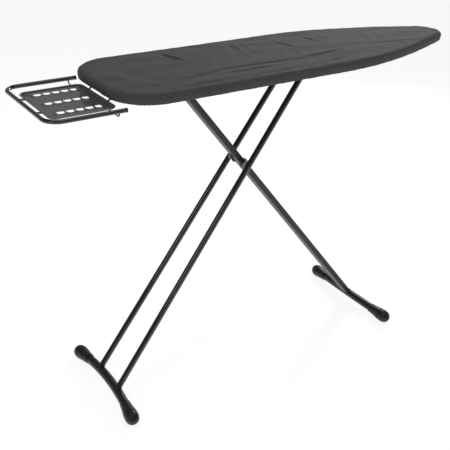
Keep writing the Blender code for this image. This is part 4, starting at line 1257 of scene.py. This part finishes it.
@dataclass
class TwinLeg:
    """The two parallel tubes with their slide bar, pivot pin, washers and foot."""

    wardrobe: Wardrobe
    lines: LegLines
    radius: float = 8.0 * MM
    top_y: float = 41.4 * MM
    foot_y: float = 54.6 * MM
    past_bar: float = 9.0 * MM
    pin_radius: float = 4.5 * MM

    def build(self) -> None:
        """Makes the foot, both tubes with their welds, and the small round parts."""
        foot, slide = self.lines.twin_foot, self.lines.slide
        maker = FootMaker(self.wardrobe, Body.TWIN_LEG, foot, -1)
        maker.build()
        for side in Side:
            self.tube(maker, side)
        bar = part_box("slide_bar")[1].y
        r = 5.0 * MM
        rounded = [(-bar, 0), (-bar, r - 0.8 * MM), (-bar + 0.8 * MM, r), (bar - 0.8 * MM, r),
                   (bar, r - 0.8 * MM), (bar, 0)]
        self.wardrobe.piece("slide_rod", revolved(rounded, slide, (0, 1, 0)), Body.TWIN_LEG,
                            Slot.GLOSS, ["slide_bar"])
        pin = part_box("pivot_pin")[1].y
        r = self.pin_radius
        shank = [(-pin, 0), (-pin, r), (pin, r), (pin, 0)]
        self.wardrobe.piece("pivot_shank", revolved(shank, self.lines.pivot, (0, 1, 0)),
                            Body.TWIN_LEG, Slot.ZINC, ["pivot_pin"])
        for side in Side:
            self.rings(side)

    def tube(self, maker: FootMaker, side: Side) -> None:
        """One straight tube, coped onto the foot bar and closed by a low dome at its top.

        Args:
            maker: the foot that it stands on.
            side: which of the two tubes.
        """
        s = side.value
        low = maker.line(s * self.foot_y) * (0, 1, 0) + self.lines.twin_foot * (1, 0, 1)
        top = self.lines.slide + (0, s * self.top_y, 0)
        up = unit(top - low)
        bar = unit(maker.line(s * (self.foot_y + 1 * MM)) - maker.line(s * (self.foot_y - 1 * MM)))
        seat = maker.line(np.array(s * self.foot_y))
        e = unit(np.cross((0, 1, 0), up))
        f = np.cross(up, e)
        turn = np.arange(40) / 40 * TAU
        ring = self.radius * (np.cos(turn)[:, None] * e + np.sin(turn)[:, None] * f)
        joint = saddle(low + up * ((seat - low) @ up), up, ring, bar, maker.bar_radius)
        joint -= up * 0.5 * MM
        dome = np.linspace(0, math.pi / 2, 7)[:, None, None]
        top_ring = top + up * self.past_bar + ring * np.cos(dome) + up * 3 * MM * np.sin(dome)
        share = np.linspace(0, 1, 50)[:, None, None]
        shaft = joint[None] * (1 - share) + top_ring[:1] * share
        grid = np.concatenate([shaft, top_ring[1:-1]])
        self.wardrobe.piece(f"leg_tube_{side.word}", Surface.from_grid(grid, caps=True),
                            Body.TWIN_LEG, Slot.GLOSS, [f"twin_tube_{side.word}"])
        bead = weld_bead(joint + up * 0.6 * MM, up, 1.5 * MM)
        self.wardrobe.piece(f"leg_tube_weld_{side.word}", bead, Body.TWIN_LEG, Slot.FOOT)

    def rings(self, side: Side) -> None:
        """The nylon washer at the pivot and the nylon glide on the slide bar, on one side."""
        s = side.value
        for name, node, centre, bore, edge in (
            ("pivot_spacer", "pivot_washer", self.lines.pivot, 4.8 * MM, 0.3 * MM),
            ("rail_glide", "slide_glide", self.lines.slide, 5.3 * MM, 1.0 * MM),
        ):
            low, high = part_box(f"{node}_{side.word}")
            inner, outer = min(abs(low.y), abs(high.y)), max(abs(low.y), abs(high.y))
            r = (high.z - low.z) / 2
            ring = [(inner, bore), (inner, r - edge), (inner + edge, r), (outer - edge, r),
                    (outer, r - edge), (outer, bore)]
            self.wardrobe.piece(f"{name}_{side.word}",
                                closed_turning(np.array(ring), centre, np.array([0.0, s, 0.0])),
                                Body.TWIN_LEG, Slot.NYLON, [f"{node}_{side.word}"])


# Iron rest ----------------------------------------------------------------------------


@dataclass
class IronRest:
    """The pull-out rest: bent rail, pressed tray, stubs, rods and the wire under it."""

    wardrobe: Wardrobe
    rail_radius: float = 5.0 * MM
    rail_corner: float = 36.0 * MM
    wire_radius: float = 2.25 * MM
    cross_radius: float = 1.75 * MM

    def build(self) -> None:
        """Makes every piece of the rest."""
        self.rail()
        self.wires()
        PressedTray(self.wardrobe).build()

    def rail(self) -> None:
        """The U-shaped rail with a swollen plug in each end."""
        low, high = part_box("rest_rail")
        r = self.rail_radius
        x, y, z = low.x + r, high.y - r, (low.z + high.z) / 2
        corners = [(high.x, -y, z), (x, -y, z), (x, y, z), (high.x, y, z)]
        path = bent_path(corners, self.rail_corner)
        self.wardrobe.piece("bent_rail", swept(path, circle(r, 32), (0, 0, 1)), Body.REST,
                            Slot.GLOSS, ["rest_rail"])
        plug = eased([(-2.0 * MM, r + 0.1 * MM), (-1.2 * MM, r + 0.3 * MM), (0.6 * MM, r + 0.3 * MM),
                      (2.2 * MM, r + 0.1 * MM), (3.1 * MM, r - 1.8 * MM), (3.4 * MM, 0.2 * MM)], 5)
        for side in Side:
            self.wardrobe.piece(f"rail_end_plug_{side.word}",
                                revolved(plug, (high.x, side.value * y, z), (1, 0, 0)),
                                Body.REST, Slot.PLASTIC, [f"rest_rail_plug_{side.word}"])

    def wires(self) -> None:
        """Stubs to the bight, rods that slide under the deck, and the cross wire."""
        r = self.wire_radius
        for side in Side:
            low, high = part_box(f"rest_stub_{side.word}")
            y = (low.y + high.y) / 2
            path = self.stub_line(low, high, y)
            self.wardrobe.piece(f"stub_{side.word}", swept(path, circle(r, 20), (0, 1, 0)),
                                Body.REST, Slot.GLOSS, [f"rest_stub_{side.word}"])
            low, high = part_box(f"rest_rod_{side.word}")
            rise = math.radians(36)
            start = np.array([low.x + r * math.sin(rise), y, low.z + r])
            level = high.z - r
            knee = start + (((level - start[2]) / math.tan(rise)), 0, level - start[2])
            path = bent_path([start, knee, (high.x, y, level)], 16 * MM)
            self.wardrobe.piece(f"sliding_rod_{side.word}", swept(path, circle(r, 20), (0, 1, 0)),
                                Body.REST, Slot.GLOSS, [f"rest_rod_{side.word}"])
        low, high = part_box("rest_cross_wire")
        r = self.cross_radius
        x, end = (low.x + high.x) / 2, high.y
        path = bent_path([(x, -end, high.z), (x, -end + 4 * MM, low.z + r),
                          (x, end - 4 * MM, low.z + r), (x, end, high.z)], 4 * MM, 1.5 * MM)
        self.wardrobe.piece("cross_wire", swept(path, circle(r, 20), (1, 0, 0)), Body.REST,
                            Slot.GLOSS, ["rest_cross_wire"])

    @staticmethod
    def stub_line(low: Vector, high: Vector, y: float) -> Array:
        """A stub's middle line, which climbs from the tray's bead to the rail."""
        r = 2.0 * MM
        a = np.array([high.x, y, low.z + r])
        b = np.array([low.x - 1.0 * MM, y, high.z - r])
        return np.linspace(a, b, 8)


@dataclass
class PressedTray:
    """The pressed tray: three raised ribs with rows of oval holes, and a rolled rim.

    The floor is a grid of straight lines, with each hole's cell left out and filled by
    rings that run from the hole's circle to the cell's edge. One height function lifts
    both, so they meet.
    """

    wardrobe: Wardrobe
    rows: tuple = (-0.066, 0.006, 0.078)
    holes: int = 5
    pitch: float = 21.7 * MM
    hole_half_x: float = 8.4 * MM
    hole_half_y: float = 10.0 * MM
    first_hole: float = 33.1 * MM      # from the tray's outer end to the first hole
    cell_half: float = 11.3 * MM
    rib_half_width: float = 12.9 * MM
    rib_half_length: float = 58.5 * MM
    rib_rise: float = 2.2 * MM
    rib_ramp: float = 1.3 * MM
    rib_corner: float = 9.0 * MM
    corner: float = 14.0 * MM
    bead: float = 2.2 * MM
    sheet: float = 0.9 * MM
    cells_x: int = 12
    cells_y: int = 16

    def __post_init__(self) -> None:
        """Reads the tray's box and works out the middle lines of its ribs."""
        low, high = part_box("rest_tray")
        self.low_x, self.high_x = low.x + self.bead, high.x - self.bead
        self.half_y = high.y - self.bead
        self.rim_top, self.floor = high.z, low.z + 1.2 * MM
        self.hole_x = self.low_x + self.first_hole + self.pitch * np.arange(self.holes)
        self.rib_x = float(self.hole_x.mean())

    def height(self, x: Array, y: Array) -> Array:
        """The floor's height: flat, with a round-cornered ridge for each rib.

        A point's distance d inside a rib's outline gives rise smooth(d / ramp), and the
        floor takes the greatest of them.
        """
        c = self.rib_corner
        past = np.maximum(np.abs(x - self.rib_x) - (self.rib_half_length - c), 0)
        ridges = []
        for row in self.rows:
            beside = np.maximum(np.abs(y - row) - (self.rib_half_width - c), 0)
            ridges.append(smooth_step((c - np.hypot(past, beside)) / self.rib_ramp))
        return self.floor + self.rib_rise * np.max(ridges, axis=0)

    def lines(self) -> tuple[Array, Array]:
        """The grid's lines, which pass through every edge of a hole's cell."""
        left = self.hole_x[0] - self.pitch / 2
        right = self.hole_x[-1] + self.pitch / 2
        inner = self.wall_inset
        low, high = self.low_x + inner, self.high_x - inner
        ends = self.rib_half_length - 2.5 * MM, self.rib_half_length + 0.8 * MM
        across = [
            np.linspace(low, self.rib_x - ends[1], 8)[:-1],
            np.linspace(self.rib_x - ends[1], self.rib_x - ends[0], 10)[:-1],
            np.linspace(self.rib_x - ends[0], left, 3)[:-1],
            np.linspace(left, right, self.holes * self.cells_x + 1)[:-1],
            np.linspace(right, self.rib_x + ends[0], 3)[:-1],
            np.linspace(self.rib_x + ends[0], self.rib_x + ends[1], 10)[:-1],
            np.linspace(self.rib_x + ends[1], high, 5),
        ]
        along = [np.array([-self.half_y + inner])]
        for row in self.rows:
            ramp_end = self.rib_half_width + 0.4 * MM
            along += [
                np.linspace(along[-1][-1], row - ramp_end, 16)[1:],
                np.linspace(row - ramp_end, row - self.cell_half, 8)[1:],
                np.linspace(row - self.cell_half, row + self.cell_half, self.cells_y + 1)[1:],
                np.linspace(row + self.cell_half, row + ramp_end, 8)[1:],
            ]
        along.append(np.linspace(along[-1][-1], self.half_y - inner, 6)[1:])
        return np.concatenate(across), np.concatenate(along)

    @property
    def wall_inset(self) -> float:
        """From the tray's outline in to the edge of its flat floor."""
        return 5.0 * MM

    def floor_surface(self) -> Surface:
        """The grid without the hole cells, and the rings that fill them."""
        xs, ys = self.lines()
        x, y = np.meshgrid(xs, ys, indexing="ij")
        grid = np.stack([x, y, self.height(x, y)], -1)
        quads = grid_quads(len(xs), len(ys), False, False)
        middle = grid.reshape(-1, 3)[quads].mean(1)
        inside = np.zeros(len(quads), bool)
        whole = Surface(grid.reshape(-1, 3), quads)
        for row in self.rows:
            for hole in self.hole_x:
                inside |= ((np.abs(middle[:, 0] - hole) < self.pitch / 2)
                           & (np.abs(middle[:, 1] - row) < self.cell_half))
        whole.quads = quads[~inside]
        for row in self.rows:
            for hole in self.hole_x:
                whole = whole.joined(self.hole_rings(hole, row))
        return whole

    def hole_rings(self, hole: float, row: float) -> Surface:
        """Rings from a cell's edge in to its oval hole, whose lip turns down a little.

        Args:
            hole: the hole's x.
            row: the hole's y.

        Returns:
            The cell's surface.
        """
        a, b = self.pitch / 2, self.cell_half
        nx, ny = self.cells_x, self.cells_y
        bottom = np.stack([np.linspace(-a, a, nx + 1)[:-1], np.full(nx, -b)], 1)
        right = np.stack([np.full(ny, a), np.linspace(-b, b, ny + 1)[:-1]], 1)
        edge = np.concatenate([bottom, right, -bottom, -right])
        lip = 0.5 * MM
        half = np.array([self.hole_half_x, self.hole_half_y])
        turn = np.arctan2(edge[:, 1] / b, edge[:, 0] / a)
        around = np.stack([np.cos(turn), np.sin(turn)], 1)
        share = np.linspace(0, 1, 5)[:, None, None]
        flat = edge * (1 - share) + around * (half + lip) * share
        bend = np.linspace(0, math.pi / 2, 4)[1:, None, None]
        curl = around[None] * (half + lip - lip * np.sin(bend))
        rings = np.concatenate([flat, curl])
        drop = np.concatenate([np.zeros(len(flat)), lip * (1 - np.cos(bend.ravel()))])
        x, y = rings[..., 0] + hole, rings[..., 1] + row
        z = self.height(x, y) - drop[:, None]
        return Surface.from_grid(np.stack([x, y, z], -1)[::-1])

    def wall_surface(self) -> Surface:
        """The wall and the rolled rim: the floor's edge carried out and up.

        Ring k is the floor's edge moved towards the outline by a share, and raised by the
        section: a fillet, a short wall, and three quarters of a circle for the rim.
        """
        xs, ys = self.lines()
        edge = np.concatenate([
            np.stack([xs, np.full(len(xs), ys[0])], 1)[:-1],
            np.stack([np.full(len(ys), xs[-1]), ys], 1)[:-1],
            np.stack([xs[::-1], np.full(len(xs), ys[-1])], 1)[:-1],
            np.stack([np.full(len(ys), xs[0]), ys[::-1]], 1)[:-1],
        ])
        centre = np.array([(self.low_x + self.high_x) / 2, 0])
        half = np.array([(self.high_x - self.low_x) / 2, self.half_y])
        core = half - self.corner
        q = edge - centre
        anchor = np.clip(q, -core, core)
        out = q - anchor
        out = np.where(np.abs(out).sum(1, keepdims=True) < 1e-9, 1e-9, out)
        normal = unit(out)
        outline = anchor + normal * self.corner
        fillet = np.linspace(0, math.pi / 2, 7)[1:]
        roll = np.linspace(math.pi, -math.pi / 2, 12)
        wall_top = self.rim_top - self.bead
        rise = wall_top - self.floor
        rf = 2.4 * MM
        share = np.concatenate([
            1 - rf / self.wall_inset * (1 - np.sin(fillet)), np.ones(len(roll))])
        start = np.concatenate([np.zeros(1), share])[:, None, None]
        ring = q[None] * (1 - start) + outline[None] * start
        bulge = np.concatenate([np.zeros(1 + len(fillet)), self.bead * (1 + np.cos(roll))])
        ring = ring + normal[None] * bulge[:, None, None]
        z = np.concatenate([[0], rf * (1 - np.cos(fillet)), rise + self.bead * np.sin(roll)])
        heights = np.broadcast_to((self.floor + z)[:, None, None], (*ring.shape[:2], 1))
        return Surface.from_grid(np.concatenate([ring + centre, heights], 2))

    def build(self) -> None:
        """Joins floor and wall and gives them the sheet's thickness."""
        tray = self.wardrobe.piece("pressed_tray", self.floor_surface().joined(self.wall_surface()),
                                   Body.REST, Slot.TRAY, ["rest_tray"], sharp=50)
        merge_close(tray.data, 1e-6)
        wall = tray.modifiers.new("sheet", "SOLIDIFY")
        wall.thickness = self.sheet
        wall.offset = -1


# Under the board ----------------------------------------------------------------------


@dataclass
class HeightLever:
    """The squeeze lever that frees the slide bar: rod, grip and return spring."""

    wardrobe: Wardrobe
    radius: float = 3.0 * MM
    droop: float = math.radians(8)
    arm: float = 85.0 * MM
    bend: float = 12.0 * MM

    def build(self) -> None:
        """Makes the rod, the grip and the spring."""
        joints = {joint["name"]: joint for joint in frame["record"]["behaviour"]["joints"]}
        x, _, z = joints["lever_squeeze"]["pos_m"]
        low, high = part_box("lever_rod")
        near = low.y + self.radius
        down = np.array([-math.cos(self.droop), 0, -math.sin(self.droop)])
        corner = np.array([x, near, z])
        path = bent_path([(x, high.y, z), corner, corner + down * self.arm], self.bend, 2 * MM)
        self.wardrobe.piece("lever_bent_rod", swept(path, circle(self.radius, 24), (0, 0, 1)),
                            Body.LEVER, Slot.GLOSS, ["lever_rod"])
        start = corner + down * (self.arm - 55 * MM)
        r = self.radius
        grip = eased([(0.0, r + 0.4 * MM), (0.8 * MM, 5.0 * MM), (10 * MM, 5.6 * MM),
                      (30 * MM, 5.0 * MM), (50 * MM, 5.8 * MM), (57 * MM, 5.2 * MM),
                      (59.5 * MM, 3.5 * MM), (60 * MM, 0.1 * MM)], 6)
        self.wardrobe.piece("finger_grip", revolved(grip, start, down), Body.LEVER, Slot.PLASTIC,
                            ["lever_grip"])
        low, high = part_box("lever_spring")
        turns, wire = 7, 0.8 * MM
        turn = np.linspace(0, turns * TAU, turns * 24)
        coil = (high.z - low.z) / 2 - wire
        line = np.stack([x + coil * np.cos(turn),
                         np.linspace(low.y + wire, high.y - wire, len(turn)),
                         z + coil * np.sin(turn)], 1)
        self.wardrobe.piece("return_spring", swept(line, circle(wire, 8), (0, 1, 0)), Body.BOARD,
                            Slot.ZINC, ["lever_spring"])


# Studio -------------------------------------------------------------------------------


@dataclass
class Studio:
    """Pale floor, soft overhead light and the camera."""

    floor_size: float = 60.0
    place: tuple = (-1.1014, -1.6126, 1.3496)
    azimuth: float = math.radians(-35.03)
    elevation: float = math.radians(25.85)
    roll: float = math.radians(1.29)
    lens: float = 62.15
    shift: tuple = (-0.0926, -0.0305)

    def build(self) -> None:
        """Sets up floor, world, lights and camera."""
        scene = bpy.context.scene
        scene.view_settings.view_transform = "Standard"
        self.floor()
        self.world(scene)
        self.softbox("overhead_softbox", (-0.2, -0.2, 3.0), (0, 0, 0.5), 2.4, 26)
        self.softbox("left_strip", (-3.0, -1.2, 2.0), (0, 0, 0.5), 0.9, 8)
        self.softbox("right_strip", (2.6, -2.2, 1.9), (0.1, 0, 0.4), 0.7, 2)
        self.softbox("raking_far", (1.9, 1.6, 1.55), (-0.1, 0, 0.83), 0.5, 22)
        self.camera(scene)

    def floor(self) -> None:
        """A wide pale floor, just under the feet."""
        half = self.floor_size / 2
        corners = np.array([[-half, -half, 0], [half, -half, 0], [half, half, 0], [-half, half, 0]])
        mesh = Surface(corners - (0, 0, 0.4 * MM), np.array([[0, 1, 2, 3]])).mesh("floor")
        g = Graph("pale_floor")
        g.set(Roughness=1.0, Specular_IOR_Level=0.0, Emission_Strength=0.86)
        g.set(Base_Color=(0.30, 0.30, 0.30, 1), Emission_Color=(1, 1, 1, 1))
        mesh.materials.append(g.material)
        floor = bpy.data.objects.new("floor", mesh)
        bpy.context.scene.collection.objects.link(floor)

    @staticmethod
    def world(scene: bpy.types.Scene) -> None:
        """A plain pale sky."""
        world = bpy.data.worlds.new("pale_sky")
        world.use_nodes = True
        sky = world.node_tree.nodes["Background"]
        sky.inputs["Color"].default_value = (1, 1, 1, 1)
        sky.inputs["Strength"].default_value = 0.22
        scene.world = world

    @staticmethod
    def softbox(name: str, place: tuple, target: tuple, size: float, power: float) -> None:
        """A square area light that faces a target.

        Args:
            name: the light's name.
            place: where it hangs.
            target: what it faces.
            size: its side.
            power: its output in watts.
        """
        light = bpy.data.lights.new(name, "AREA")
        light.shape = "SQUARE"
        light.size = size
        light.energy = power
        obj = bpy.data.objects.new(name, light)
        facing = (Vector(place) - Vector(target)).to_track_quat("Z", "Y").to_matrix().to_4x4()
        obj.matrix_world = Matrix.Translation(place) @ facing
        bpy.context.scene.collection.objects.link(obj)

    def camera(self, scene: bpy.types.Scene) -> None:
        """The camera, from its place, its two angles and a slight roll."""
        az, el, roll = self.azimuth, self.elevation, self.roll
        back = Vector((math.sin(az) * math.cos(el), -math.cos(az) * math.cos(el), math.sin(el)))
        right = Vector((math.cos(az), math.sin(az), 0))
        up = back.cross(right)
        side = math.cos(roll) * right + math.sin(roll) * up
        rise = -math.sin(roll) * right + math.cos(roll) * up
        data = bpy.data.cameras.new("camera")
        data.lens = self.lens
        data.sensor_width = 36.0
        data.shift_x, data.shift_y = self.shift
        camera = bpy.data.objects.new("camera", data)
        turn = Matrix((side, rise, back)).transposed().to_4x4()
        camera.matrix_world = Matrix.Translation(self.place) @ turn
        scene.collection.objects.link(camera)
        scene.camera = camera


def main() -> None:
    """Builds the studio and every sub-assembly."""
    logging.basicConfig(level=logging.INFO, format="%(message)s")
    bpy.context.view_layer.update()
    Studio().build()
    wardrobe = Wardrobe()
    wardrobe.dress_frame()
    outline = BoardOutline(centre_x=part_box("cover")[0].x + BoardOutline.wide_end)
    lines = LegLines.read()
    for assembly in (
        Cover(wardrobe, outline),
        DeckAndRim(wardrobe, outline),
        OvalLeg(wardrobe, lines),
        TwinLeg(wardrobe, lines),
        IronRest(wardrobe),
        HeightLever(wardrobe),
    ):
        log.info("building %s", type(assembly).__name__)
        assembly.build()


if __name__ == "__main__":
    main()
